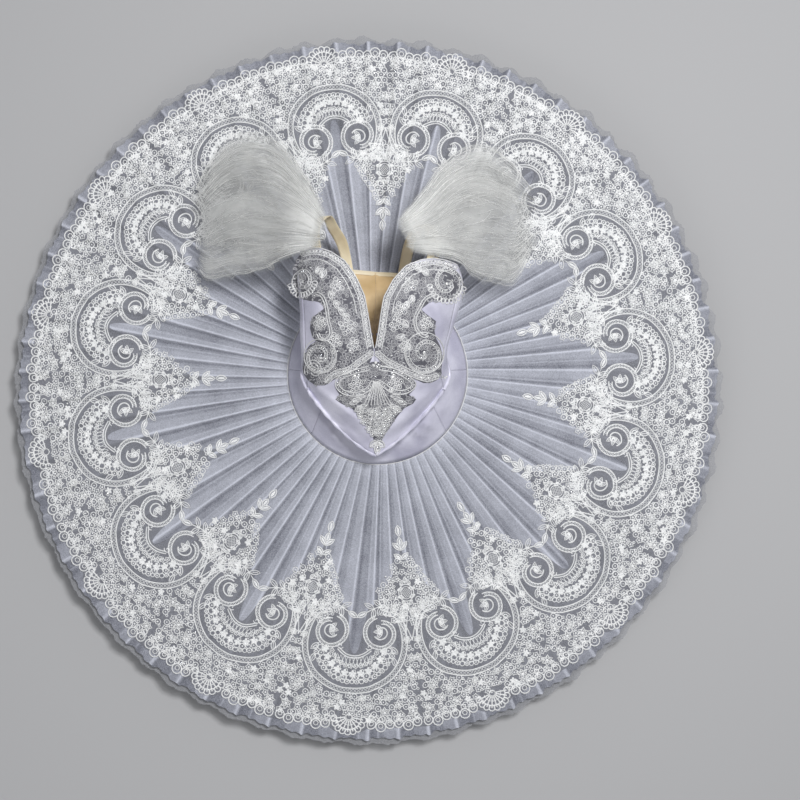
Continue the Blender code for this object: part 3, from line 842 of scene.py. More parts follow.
def draw_tip(threads, motif):
    """The medallion and the hanging leaves at the repeat's right-hand tip."""
    tip = HALF_REPEAT
    eye = (tip, 0.465)
    facing = motif.heading(*eye)
    for radius, width in ((12.5, 1.5), (9.0, 1.1)):
        threads.ring(motif.at(*eye), radius, width, 1.3, sides=18, squash=0.86, turn=facing)
    for k in range(-2, 3):
        for lean in (-1, 1):
            line = resample([(k * 3 - lean * 6, -7), (k * 3 + lean * 6, 7)], 6)
            threads.cord(motif.local(*eye, line), 0.5, 0.6)
    for k in range(10):
        a = k * 36 * DEG
        root = motif.local(*eye, [(math.sin(a) * 13, math.cos(a) * 14)])[0]
        leaf(threads, root, facing - a, 9, 4)
    down = motif.heading(tip, 0.3) + math.pi
    for side in (-1, 1):
        for out, lean, length in ((0.312, 0.75, 14), (0.345, 0.9, 12)):
            root = motif.at(tip + side * 0.15, out)
            leaf(threads, root, down + side * lean, length + 2, 6.4, full=True)
        threads.cord(motif.xy([tip + side * 1.2, tip + side * 0.6, tip], [0.62, 0.56, 0.52]), 1.3, 1.1)
    leaf(threads, motif.at(tip, 0.300), down, 14, 7, full=True)
    leaf(threads, motif.at(tip, 0.262), down, 16, 8, full=True)


def make_lace_border():
    """The lace's threads: its bands and leaves, its blossoms in three pieces, and its sequins."""
    cords, sequins = [Threads(base=1.2), Threads(base=1.2)], Threads(base=2.2)
    blossoms = [Threads(base=1.1) for _ in range(3)]
    for number in range(REPEATS):
        motif = Motif(number)
        half = cords[number % 2]
        draw_edge(half, motif)
        draw_arch(half, motif)
        draw_sprigs(half, motif)
        draw_blooms(half, motif)
        draw_tip(half, motif)
        draw_ground(blossoms[number % 3], motif)
        for _ in range(150):
            degrees, out = motif.rng.uniform(-HALF_REPEAT, HALF_REPEAT), motif.rng.uniform(0.36, 0.94)
            if in_ground(degrees, out):
                sequins.bead(motif.at(degrees, out), 1.25, 0.9)
    named = [("lace_cords_1", cords[0]), ("lace_cords_2", cords[1])]
    named += [(f"lace_blossoms_{i + 1}", threads) for i, threads in enumerate(blossoms)]
    made = [threads.make(name, plate_height, THREAD, "skirt_lace") for name, threads in named]
    return made + [sequins.make("lace_sequins", plate_height, BEAD, "skirt_lace")]


# The border's inner edge: repeats from the arch's middle, and share out
LACE_EDGE = [(0.00, 0.29), (0.03, 0.34), (0.10, 0.38), (0.20, 0.43), (0.30, 0.490), (0.395, 0.510),
             (0.425, 0.56), (0.455, 0.64), (0.475, 0.672), (0.50, 0.676)]


def make_lace_net():
    """The lace's own net, cut along the pattern at both edges."""
    steps = REPEATS * 60
    turns = np.arange(steps) * REPEATS / steps
    angles = repeat_angle(turns)
    to_tip = np.abs((turns + 1.0) % 1.0 - 0.5)
    inner = np.interp(to_tip, *zip(*LACE_EDGE))
    degrees = ((turns + 0.5) % 1.0 - 0.5) * 24
    fan = np.clip(1 - (degrees / 2.9) ** 2, 0, 1) ** 0.5
    outer = 0.942 + 0.012 * peak(np.abs(degrees), 11.5, 3.0) + 0.022 * fan
    shares = np.linspace(0, 1, 34)[:, None]
    distance = lace_distance(angles[None, :], inner[None, :] + (outer - inner)[None, :] * shares)
    x, y = polar_xy(angles[None, :], distance)
    height = plate_height(x, y) + 0.8
    return net_ring("lace_border_net", "lace_border", x, y, height, LACE_NET)


# The net layers under the plate: number, reach as a share of the plate's, height at the hip and at
# the edge, folds round, how far they push the edge in and out, and how ragged it is
UNDER = [
    (2, 1.018, 76, 41, 70, 3.5, 1.4), (3, 0.985, 67, 33, 70, 3, 1.4), (4, 0.90, 58, 26, 48, 3, 1.0),
    (5, 0.78, 48, 20, 48, 3, 1.0), (6, 0.64, 37, 14, 40, 3, 1.0), (7, 0.50, 25, 8, 40, 3, 1.0),
]


def make_skirt():
    plate, area = make_plate()
    for number, reach, *shape in UNDER:
        layer, area = make_under_layer(number, reach, *shape)
    threads = make_lace_border()
    net, area = make_lace_net()


# ---------------------------------------------------------------- the basque

BASQUE_FOOT_Z = foot_low[2] + 0.4
WAIST_HALF, WAIST_FRONT, WAIST_BACK = 91.0, (-46.0, 167.0), (48.0, 135.0)
BASQUE_SEAMS = [
    ("basque_back_right", 3, 90), ("basque_back_left", 90, 177), ("basque_side_left", 177, 222),
    ("basque_front", 222, 320), ("basque_side_right", 320, 363),
]

# Soft ridges and, where the height is negative, troughs, in plan and in mm:
# from x, from y, to x, to y, half width, height
CREASES = [
    (88, 126, 108, 74, 8, 4.5), (78, 112, 98, 70, 7, -3), (-84, 118, -90, 70, 7, 2.5),
    (-66, 2, -4, -46, 4.5, 3.4), (-70, -8, -16, -54, 3.5, -2.6), (-40, -6, 6, -50, 4, -1.6),
    (84, -4, 36, -50, 5, 3.2), (92, -16, 46, -60, 4, -2.4), (64, 0, 30, -44, 4, -1.6),
    (-36, -50, -12, -66, 5, 2.2), (-44, -58, -18, -76, 5, -2), (84, -34, 96, -58, 7, 2.4),
    (60, -62, 84, -70, 6, -1.6), (-100, 20, -92, -20, 6, 1.6), (20, -86, 52, -74, 6, 1.6),
    (-104, 60, -96, 104, 7, -2), (60, 108, 92, 122, 6, 1.6), (-92, 4, 2, -92, 8, -3),
    (118, 6, 24, -92, 8, -3), (-58, -52, -34, -80, 4, 3), (70, -44, 92, -50, 4, 3.2),
    (62, -56, 80, -64, 3.5, 2.6),
]


def crease_height(x, y):
    total = 0.0
    for x0, y0, x1, y1, half, height in CREASES:
        dx, dy = x1 - x0, y1 - y0
        share = np.clip(((x - x0) * dx + (y - y0) * dy) / (dx ** 2 + dy ** 2), 0, 1)
        away = np.hypot(x - x0 - share * dx, y - y0 - share * dy)
        total = total + height * peak(away, 0, half) * (0.55 + 0.45 * np.sin(share * math.pi))
    return total


BASQUE_CREASING = 1.6


def basque_grid(start, end, columns, rows=14):
    angles = np.linspace(start, end, columns)
    up = np.linspace(0, 1, rows)[:, None]
    back = (1 + np.sin(angles * DEG)) / 2
    foot_x, foot_y = polar_xy(angles, HIP_R + 2)
    waist_x = HIP[0] + WAIST_HALF * np.cos(angles * DEG)
    waist_y = HIP[1] + WAIST_FRONT[0] + (WAIST_BACK[0] - WAIST_FRONT[0]) * back
    waist_z = WAIST_FRONT[1] + (WAIST_BACK[1] - WAIST_FRONT[1]) * back
    x = foot_x + (waist_x - foot_x) * up
    y = foot_y + (waist_y - foot_y) * up
    z = BASQUE_FOOT_Z + (waist_z - BASQUE_FOOT_Z) * up
    near_seam = np.minimum(angles - start, end - angles)
    z = z - 0.6 * peak(near_seam, 0, 0.9)
    z = z + BASQUE_CREASING * crease_height(x, y) * np.sin(up * math.pi) ** 0.5
    z = z + (smooth_noise(x, y, 38, 5) + smooth_noise(x, y, 19, 9) * 0.5) * 1.1 * np.sin(up * math.pi)
    return np.stack([x, y, np.broadcast_to(z, x.shape)], axis=2)


def make_basque():
    """The five satin panels of the hip yoke, and the stitched seam round its foot."""
    for name, start, end in BASQUE_SEAMS:
        points = basque_grid(start + 0.05, end - 0.05, int((end - start) / 0.9))
        obj = make_grid(name + "_satin", points, SATIN, thick=0.8)
        stands_for(name)
    seam = Threads(base=0.4)
    angles = np.linspace(0, 360, 241)[:-1]
    x, y = polar_xy(angles, HIP_R + 3.2)
    seam.cord(np.column_stack([x, y]), 1.4, 1.6, closed=True)
    seam.make("hip_seam", plate_height, THREAD, "satin")


# ---------------------------------------------------------------- the bodice

# The same sections as the CAD's, in mm from the hip's centre
SECTION_COLUMNS = ("front_y", "front_z", "side_y", "side_z", "back_y", "back_z",
                   "left", "seam", "right", "square")
BODICE_SECTIONS = np.array([
    (-113, 131, -6, 156, 54, 142, -103, -3, 100, 1.25),
    (-70, 167, 11, 163, 68, 137, -103, -3, 97, 1.60),
    (-32, 193, 32, 171, 84, 129, -103, -3, 96, 1.90),
    (8, 213, 54, 177, 102, 119, -104, -2, 99, 2.10),
    (54, 229, 80, 179, 123, 108, -104, -2, 107, 2.30),
    (108, 239, 110, 175, 147, 99, -107, -3, 116, 2.45),
    (170, 241, 145, 168, 176, 93, -114, -4, 125, 2.60),
])
BACK_SQUARE, SKEW = 2.5, 0.09
CUP = {"height": 9, "turn": 38, "along": 0.74, "turn_size": 36, "along_size": 0.30}
FRONT_END, SIDE_END, BACK_END = 68, 126, 180
# The top edge: turn from the front's middle in degrees, and how far along the bodice it reaches
NECK = [
    (0, 0.585), (2.5, 0.670), (4, 0.735), (6, 0.810), (12, 0.880), (20, 0.935), (30, 0.965), (39, 0.980),
    (50, 0.985), (62, 0.985), (74, 0.930), (90, 0.850), (126, 0.790), (150, 0.830), (180, 0.815),
]


def section_at(along):
    at = min(max(along, 0.0), 1.0) * (len(BODICE_SECTIONS) - 1)
    return dict(zip(SECTION_COLUMNS, on_curve(BODICE_SECTIONS, at)))


def bodice_surface(turn, along):
    s = section_at(along)
    size = abs(turn)
    end, square = ("front", s["square"]) if size < 90 else ("back", BACK_SQUARE)
    reach = math.sin(size * DEG)
    crown = (1 - reach ** square) ** (1 / square)
    x = s["seam"] + (s["right" if turn > 0 else "left"] - s["seam"]) * reach
    y = s["side_y"] + (s[end + "_y"] - s["side_y"]) * crown
    z = s["side_z"] + (s[end + "_z"] - s["side_z"]) * crown
    far = math.hypot((size - CUP["turn"]) / CUP["turn_size"], (along - CUP["along"]) / CUP["along_size"])
    if far < 1:
        z += CUP["height"] * math.cos(far * math.pi / 2) ** 2
    y -= SKEW * (x - s["seam"]) * along
    return np.array([HIP[0] + x, HIP[1] + y, z])


def bodice_point(turn, along, out=0.0):
    point = bodice_surface(turn, along)
    if not out:
        return point
    side = 1 if turn >= 0 else -1
    near, far = max(abs(turn) - 1.5, 0.2) * side, min(abs(turn) + 1.5, 179.8) * side
    across = (bodice_surface(far, along) - bodice_surface(near, along)) * side
    up = bodice_surface(turn, min(along + 0.01, 1)) - bodice_surface(turn, max(along - 0.01, 0))
    normal = np.cross(across, up)
    return point + normal / np.linalg.norm(normal) * out


def neck_along(turn):
    return float(np.interp(abs(turn), *zip(*NECK)))


def bodice_grid(turns, low, high, rows, out=0.0):
    return np.array([
        [bodice_point(t, neck_along(t) * up, out) for t in turns] for up in np.linspace(low, high, rows)
    ])


PANEL_GAP = 0.06
SATIN_WALL, HEM_ROLL = 1.0, 2.6
LINING_IN, BINDING_IN = 1.65, 2.6
PANELS = [
    {"base": "bodice_front", "from": 0, "to": FRONT_END, "columns": 34, "rows": 48,
     "flat": (0.15, 0.33), "most": 0.045},
    {"base": "bodice_side", "from": FRONT_END, "to": SIDE_END, "columns": 16, "rows": 30,
     "flat": (0.10, 0.20), "most": 0.02},
    {"base": "bodice_back", "from": SIDE_END, "to": BACK_END, "columns": 18, "rows": 20,
     "flat": (0.10, 0.20), "most": 0.02},
]


def make_roll(name, line, radius, material, sides=8):
    """A rolled edge: a soft tube along a line in space."""
    line = np.asarray(line, float)
    ahead = unit(np.gradient(line, axis=0))
    across = unit(np.cross(ahead, [0.0, 0.0, 1.0]))
    rise = np.cross(across, ahead)
    a = np.arange(sides) * 2 * math.pi / sides
    swell = 1 + 0.25 * np.sin(np.arange(len(line)) * 1.3)
    ring = across[:, None] * np.cos(a)[None, :, None] + rise[:, None] * np.sin(a)[None, :, None]
    points = line[:, None] + ring * radius * swell[:, None, None]
    faces = grid_faces(len(line), sides, closed=True)
    last = (len(line) - 1) * sides
    faces += [tuple(range(sides)), tuple(range(last + sides - 1, last - 1, -1))]
    return make_mesh(name, points.reshape(-1, 3), faces, material)


def panel_points(base, turns, rows):
    """A satin panel's face: the general form, its folds, and the front's turned-up lower edge."""
    points = bodice_grid(turns, 0, 1, rows)
    if base != "bodice_back":
        points[:, :, 2] += crease_height(points[:, :, 0], points[:, :, 1])
        points[:, :, 2] += noise_on(points, 30, 3) * 0.9
    if base == "bodice_front":
        up = np.linspace(0, 1, rows)[:, None]
        uneven = 0.6 + 0.4 * noise_on(points, 46, 12)
        points[:, :, 2] += 7.0 * peak(up, 0, 0.055) + 2.6 * uneven * peak(up, 0.13, 0.035)
    return points


def make_lining(word, turns, rows):
    """The nude lining inside one back panel, which goes on below the panel, behind the V."""
    points = bodice_grid(turns, 0, 0.99, rows, -LINING_IN)
    below = points[0] + (points[0] - points[2]) * np.linspace(3.4, 0.4, 8)[:, None, None]
    below[:, :, 2] = points[0, :, 2] + (below[:, :, 2] - points[0, :, 2]) * 0.3
    points = np.concatenate([below, points])
    seam = 1.8 * peak(points[:, :, 0], 10, 5.0)
    points[:, :, 2] += seam + noise_on(points, 34, 8) * 1.2
    obj = make_grid(f"lining_back_{word}_cloth", points, LINING)
    stands_for(f"lining_back_{word}")


def make_binding():
    """The cream binding of the back's top edge."""
    end, middle = SIDE_END + 4, BACK_END - 0.2
    turns = np.concatenate([np.linspace(-end, -middle, 20), np.linspace(middle, end, 20)])
    points = bodice_grid(turns, 0.95, 1.0, 4, -BINDING_IN)
    points[1:3, :, 2] += 0.9
    obj = make_grid("back_binding_cloth", points, BINDING)
    stands_for("back_binding")


def make_bodice():
    """Satin panels with rolled hems, the back's lining and its bound edge; gives the panels' points."""
    made = {}
    for panel in PANELS:
        for word, side in (("left", -1), ("right", 1)):
            turns = np.linspace(panel["from"] + PANEL_GAP, panel["to"] - PANEL_GAP, panel["columns"])
            points = panel_points(panel["base"], turns * side, panel["rows"])
            name = f"{panel['base']}_{word}"
            obj = make_grid(name + "_satin", points, SATIN, thick=SATIN_WALL)
            stands_for(name)
            hem = make_roll(name + "_hem", points[0], HEM_ROLL, SATIN)
            made[name] = points
            if panel["base"] == "bodice_back":
                make_lining(word, turns * side, panel["rows"])
    make_binding()
    return made


STRAPS = [
    {"name": "strap_left", "behind": -158, "spread_behind": 4, "before": -46, "spread_before": 5,
     "way": [(-49, 182, 122), (-60, 201, 144), (-70, 215, 172), (-83, 198, 200)]},
    {"name": "strap_right", "behind": 160, "spread_behind": 4, "before": 40, "spread_before": 5,
     "way": [(44, 177, 120), (53, 196, 138), (64, 205, 162), (77, 186, 192)]},
]
STRAP_WIDTH = 16.0
STRAP_IN = 3.4 * LINING_IN


def sewn(turn, up, spread):
    """The two edges of a strap where it is sewn inside the bodice, either side of a turn."""
    return [bodice_point(t, neck_along(t) * up, -STRAP_IN) for t in (turn - spread, turn + spread)]


def make_straps():
    """Flat elastic from the back's top edge over to the cups."""
    for strap in STRAPS:
        rows = [sewn(strap["behind"], up, -strap["spread_behind"]) for up in (0.94, 1.0)]
        way = [np.array([HIP[0] + x, HIP[1] + y, z]) for x, y, z in strap["way"]]
        for i, point in enumerate(way):
            ahead = way[min(i + 1, len(way) - 1)] - way[max(i - 1, 0)]
            across = np.array([1.0, 0, 0]) - ahead * ahead[0] / (ahead @ ahead)
            half = across / np.linalg.norm(across) * STRAP_WIDTH / 2
            rows.append([point - half, point + half])
        rows += [sewn(strap["before"], up, strap["spread_before"]) for up in (1.0, 0.95)]
        edges = smooth_rows(rows, 60)
        across = np.linspace(0, 1, 7)[None, :, None]
        points = edges[:, :1] * (1 - across) + edges[:, 1:] * across
        obj = make_grid(strap["name"] + "_elastic", points, ELASTIC, thick=1.0)
        stands_for(strap["name"])


# ---------------------------------------------------------------- cloth to lay things on

class Cloth:
    """Cloth as grids of points, to lay things on from above."""

    def __init__(self, grids):
        points, faces = [], []
        for grid in grids:
            rows, columns = grid.shape[:2]
            faces += grid_faces(rows, columns, start=len(points))
            points += grid.reshape(-1, 3).tolist()
        self.points = np.array(points)
        self.tree = BVHTree.FromPolygons([Vector(p) for p in points], faces)
        self.known = {}

    def height(self, x, y):
        found = np.empty(len(x))
        for i, (px, py) in enumerate(zip(x, y)):
            key = (round(float(px), 2), round(float(py), 2))
            if key not in self.known:
                hit = self.tree.ray_cast(Vector((px, py, 500.0)), Vector((0, 0, -1)))[0]
                if hit is None:
                    away = np.hypot(self.points[:, 0] - px, self.points[:, 1] - py)
                    away = away + (300 - self.points[:, 2]) * 0.05
                    self.known[key] = float(self.points[int(np.argmin(away)), 2])
                else:
                    self.known[key] = hit.z
            found[i] = self.known[key]
        return found


# ---------------------------------------------------------------- the sleeves

# Rows from the shoulder to the far end, in mm: back x, back y, front x, front y, height, depth
SLEEVES = {
    "sleeve_left": [
        (-55, 244, -64, 186, 235, 11), (-81, 292, -107, 174, 221, 16), (-121, 347, -142, 159, 180, 28),
        (-176, 363, -190, 153, 140, 28), (-218, 336, -226, 151, 110, 22), (-242, 294, -243, 172, 94, 15)],
    "sleeve_right": [
        (44, 230, 68, 180, 236, 11), (70, 264, 123, 170, 221, 16), (108, 318, 146, 152, 180, 28),
        (155, 348, 180, 144, 140, 28), (199, 332, 209, 147, 110, 22), (233, 291, 239, 205, 94, 15)],
}


# Folds of the gathered net: width in degrees round the sleeve, how far they stretch, and strength
CRUMPLES = [(38, 2.5, 1.0), (17, 4.0, 0.9), (8, 6.5, 0.75), (3.6, 11.0, 0.6)]
SLEEVE_LAYERS = [("outer", 1.0, 1.0, 0.0), ("inner", 0.55, 0.95, 2.0)]
WISPS = 300


def crumpled(a, s, seed):
    """Uneven folds that run out from the shoulder, broad ones and fine ones, from -1 to 1."""
    turn, along = a / DEG, s * 100
    turn = turn + 7 * smooth_noise(turn, along * 1.5, 90, seed + 6)
    total = sum(strength * smooth_noise(turn, along / stretch, size, seed + size)
                for size, stretch, strength in CRUMPLES)
    return total / 1.6


def sleeve_layer(name, sections, depth, reach, shift):
    """The points of one layer of a sleeve, and how much its net is bunched at each."""
    around, rows = 300, len(sections)
    a = np.arange(around) * 2 * math.pi / around
    wide = np.copysign(np.abs(np.cos(a)) ** 0.8, np.cos(a))
    local = random.Random(name)
    seed = local.uniform(0, 20)
    fray = np.array([local.uniform(-1, 1) for _ in range(around)])
    at_side = np.abs(np.cos(a)) ** 6
    points, bunched = [], []
    for i, (bx, by, fx, fy, z, deep) in enumerate(sections):
        s = i / (rows - 1)
        middle = np.array([(bx + fx) / 2, (by + fy) / 2, z])
        half = np.array([(bx - fx) / 2, (by - fy) / 2, 0.0]) * reach
        fold = crumpled(a, s, seed)
        along = s * 100 + 40 * np.sign(wide)
        tatter = smooth_noise(along, 0 * a, 9, seed) * 0.04 + smooth_noise(along, 0 * a, 3, seed) * 0.015
        row = middle + half * (wide * (1 + at_side * tatter))[:, None]
        row[:, 2] += np.sin(a) * deep / 2 * depth
        room = math.sin(math.pi * min(1, s * 1.2 + 0.1)) ** 0.6
        row[:, 2] += fold * (0.8 + 2.6 * room) * np.abs(np.sin(a)) ** 0.5
        points.append(row)
        cloud = smooth_noise(row[:, 0], row[:, 1], 58, 9 + shift)
        sheer = 0.19 + 0.36 * (1 - s) ** 1.3 + 0.22 * np.clip(fold, -0.6, 1.2) + 0.12 * cloud
        edge = np.clip((1 - s) / 0.2, 0, 1) * np.clip((1 - np.abs(wide)) / 0.24 + 0.04, 0, 1)
        edge = edge * min(1.0, 0.3 + s / 0.08)
        bunched.append(np.clip(sheer, 0.0, 1) * edge)
    points = np.array(points)
    ragged = smooth_noise(a / DEG, 0 * a, 24, seed) * 8 + smooth_noise(a / DEG, 0 * a, 6, seed) * 5
    ragged = ragged + fray * 4
    out = unit(points[-1] - points[-5])
    for row, share in ((-1, 1.0), (-2, 0.7), (-3, 0.4), (-4, 0.2)):
        points[row] += out * ragged[:, None] * share
    shoulder = unit(points[0] - points[3])
    points[0] += shoulder * (5.0 + 0.7 * ragged)[:, None]
    points[1] += shoulder * (2.0 + 0.3 * ragged)[:, None]
    return points, bunched


def make_wisps(name, points):
    """Stray threads of the net that lie over a sleeve and stand out past its edges."""
    cloth = Cloth([np.concatenate([points, points[:, :1]], axis=1)])
    threads = Threads(base=0.8)
    local = random.Random(name)
    rows, around = points.shape[:2]
    for _ in range(WISPS):
        start = 1.0 - 0.9 * local.random() ** 0.9
        length, drift = local.uniform(0.10, 0.35), local.uniform(-0.016, 0.016)
        column = math.acos(local.uniform(-0.94, 0.94)) / (2 * math.pi)
        line = []
        for share in np.linspace(0, 1, 7):
            s = max(0.0, start + (share - 0.5) * length)
            row = min(s, 1.0) * (rows - 1)
            low = int(min(row, rows - 2))
            across = (column + drift * share * share) * around
            left = int(across)
            corners = points[low:low + 2, [left, (left + 1) % around]]
            ends = corners[0] * (1 - row + low) + corners[1] * (row - low)
            past = points[-1, left] - points[-6, left]
            here = ends[0] * (1 - across + left) + ends[1] * (across - left)
            line.append((here + past * max(0.0, s - 1.0) * 1.2)[:2])
        threads.cord(line, local.uniform(0.25, 0.5), 0.4)
    return threads.make(f"{name}_wisps", cloth.height, WISP, "tulle")


def make_sleeves():
    """Each sleeve: crumpled tulle in a flattened tube, two layers deep, with frayed edges."""
    for name, table in SLEEVES.items():
        sections = smooth_rows(np.array(table, float), 56)
        for layer, depth, reach, shift in SLEEVE_LAYERS:
            points, bunched = sleeve_layer(name + layer, sections, depth, reach, shift)
            obj = make_grid(f"{name}_{layer}", points, TULLE, closed=True)
            set_attribute(obj, "bunched", bunched)
            wisps = []
            if layer == "outer":
                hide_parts(name)
                wisps = [make_wisps(name, points)]


# ---------------------------------------------------------------- beaded lace on the bodice

# The lace's outline on each part, as rows of (y, x at the left, x at the right); None is the neck
LACE_LEFT = [
    (186, -84, None), (176, -94, None), (160, -99, None), (142, -100, None), (128, -94, None),
    (121, -84, None), (117, -60, None), (109, -54, None), (103, -62, None), (97, -72, None),
    (84, -75, None), (72, -72, None), (66, -66, None), (61, -76, None), (50, -85, 11), (40, -87, 7),
    (30, -88, 2), (22, -86, -26), (14, -80, -44), (7, -70, -56),
]
LACE_RIGHT = [
    (183, None, 88), (172, None, 106), (158, None, 124), (142, None, 133), (128, None, 128),
    (119, None, 116), (115, None, 84), (107, None, 74), (100, None, 82), (92, None, 94),
    (80, None, 92), (70, None, 94), (60, None, 100), (50, 12, 103), (40, 18, 104), (30, 24, 102),
    (22, 44, 103), (15, 66, 98), (10, 78, 88),
]
LACE_MIDDLE = [
    (38, 8, 17), (28, -8, 34), (20, -30, 54), (10, -40, 67), (2, -41, 66), (-6, -36, 58),
    (-12, -42, 68), (-18, -34, 64), (-24, -20, 52), (-36, -9, 42), (-48, 0, 34), (-58, 6, 27),
    (-66, 9, 22), (-76, 12, 18),
]


def neck_line(side, count=60):
    """The front's top edge in plan, from the point of the V to the shoulder."""
    turns = np.linspace(0.25, 62, count) * side
    return np.array([bodice_point(t, neck_along(t))[:2] for t in turns])


def patch_edges(table, side):
    """The outline's y, left x and right x, with the neck's own line where the table says None."""
    neck = neck_line(side or 1, 120)
    order = np.argsort(neck[:, 1])
    rows = []
    for y in np.linspace(table[0][0], table[-1][0], 90):
        ys = [row[0] for row in table][::-1]
        sides = []
        for column in (1, 2):
            neck_x = float(np.interp(y, neck[order, 1], neck[order, 0])) + side * 1.0
            xs = [neck_x if row[column] is None else row[column] for row in table][::-1]
            sides.append(float(np.interp(y, ys, xs)))
        rows.append((y, sides[0], sides[1]))
    return rows


def inside_patch(rows, x, y, margin=0.0):
    if not rows[-1][0] + margin < y < rows[0][0] - margin:
        return False
    nearest = min(rows, key=lambda row: abs(row[0] - y))
    return nearest[1] + margin < x < nearest[2] - margin


def make_patch(name, node_name, rows, cloth):
    across = np.linspace(0, 1, 44)
    x = np.array([left + (right - left) * across for _, left, right in rows])
    y = np.array([[row[0]] * len(across) for row in rows])
    z = cloth.height(x.ravel(), y.ravel()).reshape(x.shape) + 1.3
    points = np.stack([x, y, z], axis=2)
    # the net is painted dark as shade between the lace's threads
    obj = make_grid(name, points, BODICE_NET_SHADED)
    stands_for(node_name)


def scatter_rings(threads, centre, count, spread, radius=2.9):
    """A cluster of small rings round a centre, with a bead in each."""
    cords, beads = threads["cord"], threads["bead"]
    for k in range(count):
        a = k * 2.4
        far = spread * math.sqrt((k + 0.5) / count)
        here = (centre[0] + far * math.cos(a), centre[1] + far * math.sin(a))
        cords.ring(here, radius, 1.25, 2.2, sides=8)
        beads.bead(here, 1.2, 2.2)


def beaded_spiral(threads, centre, start, turns, outer, inner, beads=True):
    line = spiral(centre, start, turns, outer, inner, hold=0.35, step=12)
    draw_double(threads["cord"], line, 4.0, 1.3, 2.5)
    if beads:
        for point in resample(line, 3.4):
            threads["bead"].bead(point, 1.15, 2.0)


def scallops(threads, centre, radius, start, end, count, size):
    """A fringe of loops round part of a circle."""
    for a in np.linspace(start, end, count) * DEG:
        here = (centre[0] + radius * math.cos(a), centre[1] + radius * math.sin(a))
        threads["cord"].ring(here, size, 1.6, 2.0, sides=8, squash=0.62, turn=a)


# The scrolls of each cup, -1 left and 1 right: top and low spirals with their radii, the scroll
# between them, clusters (place, rings, spread), leaves (place, direction), and the band below
CUPS = {
    -1: {
        "top": ((-85, 146), 14.0), "low": ((-62, 46), 19.0),
        "scroll": [(-65, 129), (-57, 124), (-52, 112), (-49, 92), (-46, 76), (-52, 68), (-60, 69),
                   (-64, 76)],
        "clusters": [((-61, 90), 9, 8.5), ((-37, 139), 8, 9.0), ((-23, 84), 10, 11.0),
                     ((-40, 66), 8, 9.0), ((-15, 60), 8, 8.5)],
        "leaves": [((-66, 155), 30), ((-58, 148), 60), ((-48, 131), 290), ((-42, 118), 300),
                   ((-36, 108), 310), ((-30, 100), 320)],
        "sweep": [(9, 50), (-8, 38), (-24, 27), (-42, 22), (-54, 12)],
    },
    1: {
        "top": ((109, 142), 19.5), "low": ((79, 50), 23.0),
        "scroll": [(92, 127), (80, 121), (72, 108), (66, 95), (68, 81), (77, 72), (84, 74)],
        "clusters": [((81, 90), 8, 8.0), ((46, 107), 9, 9.0), ((41, 88), 9, 9.0),
                     ((58, 139), 9, 9.5), ((54, 60), 8, 8.0)],
        "leaves": [((76, 160), 150), ((84, 152), 120), ((62, 126), 250), ((56, 118), 240),
                   ((52, 74), 200), ((58, 84), 130)],
        "sweep": [(15, 50), (30, 38), (50, 28), (66, 21), (82, 16), (98, 20)],
    },
}


def draw_cup(threads, side):
    """The scrolls of one cup, with side -1 for the left and 1 for the right."""
    cords, beads = threads["cord"], threads["bead"]
    neck = neck_line(side)
    smooth = resample(neck, 1.6)
    band = offset_line(smooth, -side * 5.0)
    draw_double(cords, band, 8.2, 1.5, 2.4)
    for point in resample(band, 4.6)[1:]:
        cords.ring(point, 2.2, 1.2, 2.0, sides=8)
        beads.bead(point, 1.2, 2.4)
    channel = offset_line(smooth, -side * 15.5)
    cords.cord(channel[channel[:, 1] > 100], 1.5, 2.4)
    cup = CUPS[side]
    (top, top_radius), (low, low_radius) = cup["top"], cup["low"]
    if side < 0:
        beaded_spiral(threads, (-71, 27), 200, -330, 12, 3.5, beads=False)
    else:
        for k in range(4):
            beads.bead((103 + k * 2.4, 17 + (k % 2) * 2), 1.5, 1.9, sides=7)
    beaded_spiral(threads, top, 90 - side * 150, side * 470, top_radius, 3.5)
    scallops(threads, top, top_radius + 4, -170, -10, 13, 3.8)
    beaded_spiral(threads, low, 90 + side * 60, side * 500, low_radius, 4.5)
    cords.ring(low, low_radius + 3.8, 1.5, 2.5, sides=36)
    beads.bead(low, 2.6, 2.6, sides=10)
    beads.bead(top, 2.4, 2.4, sides=10)
    draw_double(cords, curve_through(cup["scroll"]), 3.2, 1.5, 2.6)
    for centre, count, spread in cup["clusters"]:
        scatter_rings(threads, centre, count, spread)
    for place_at, facing in cup["leaves"]:
        leaf(cords, place_at, facing * DEG, 13, 5, rise=1.6)
        leaf(cords, place_at, (facing + 35) * DEG, 10, 4, rise=1.5)
    sweep = curve_through(cup["sweep"])
    draw_double(cords, sweep, 7.4, 1.5, 2.5)
    for point in resample(sweep, 4.6):
        cords.ring(point, 2.0, 1.1, 1.5, sides=8)
        beads.bead(point, 1.1, 1.8)


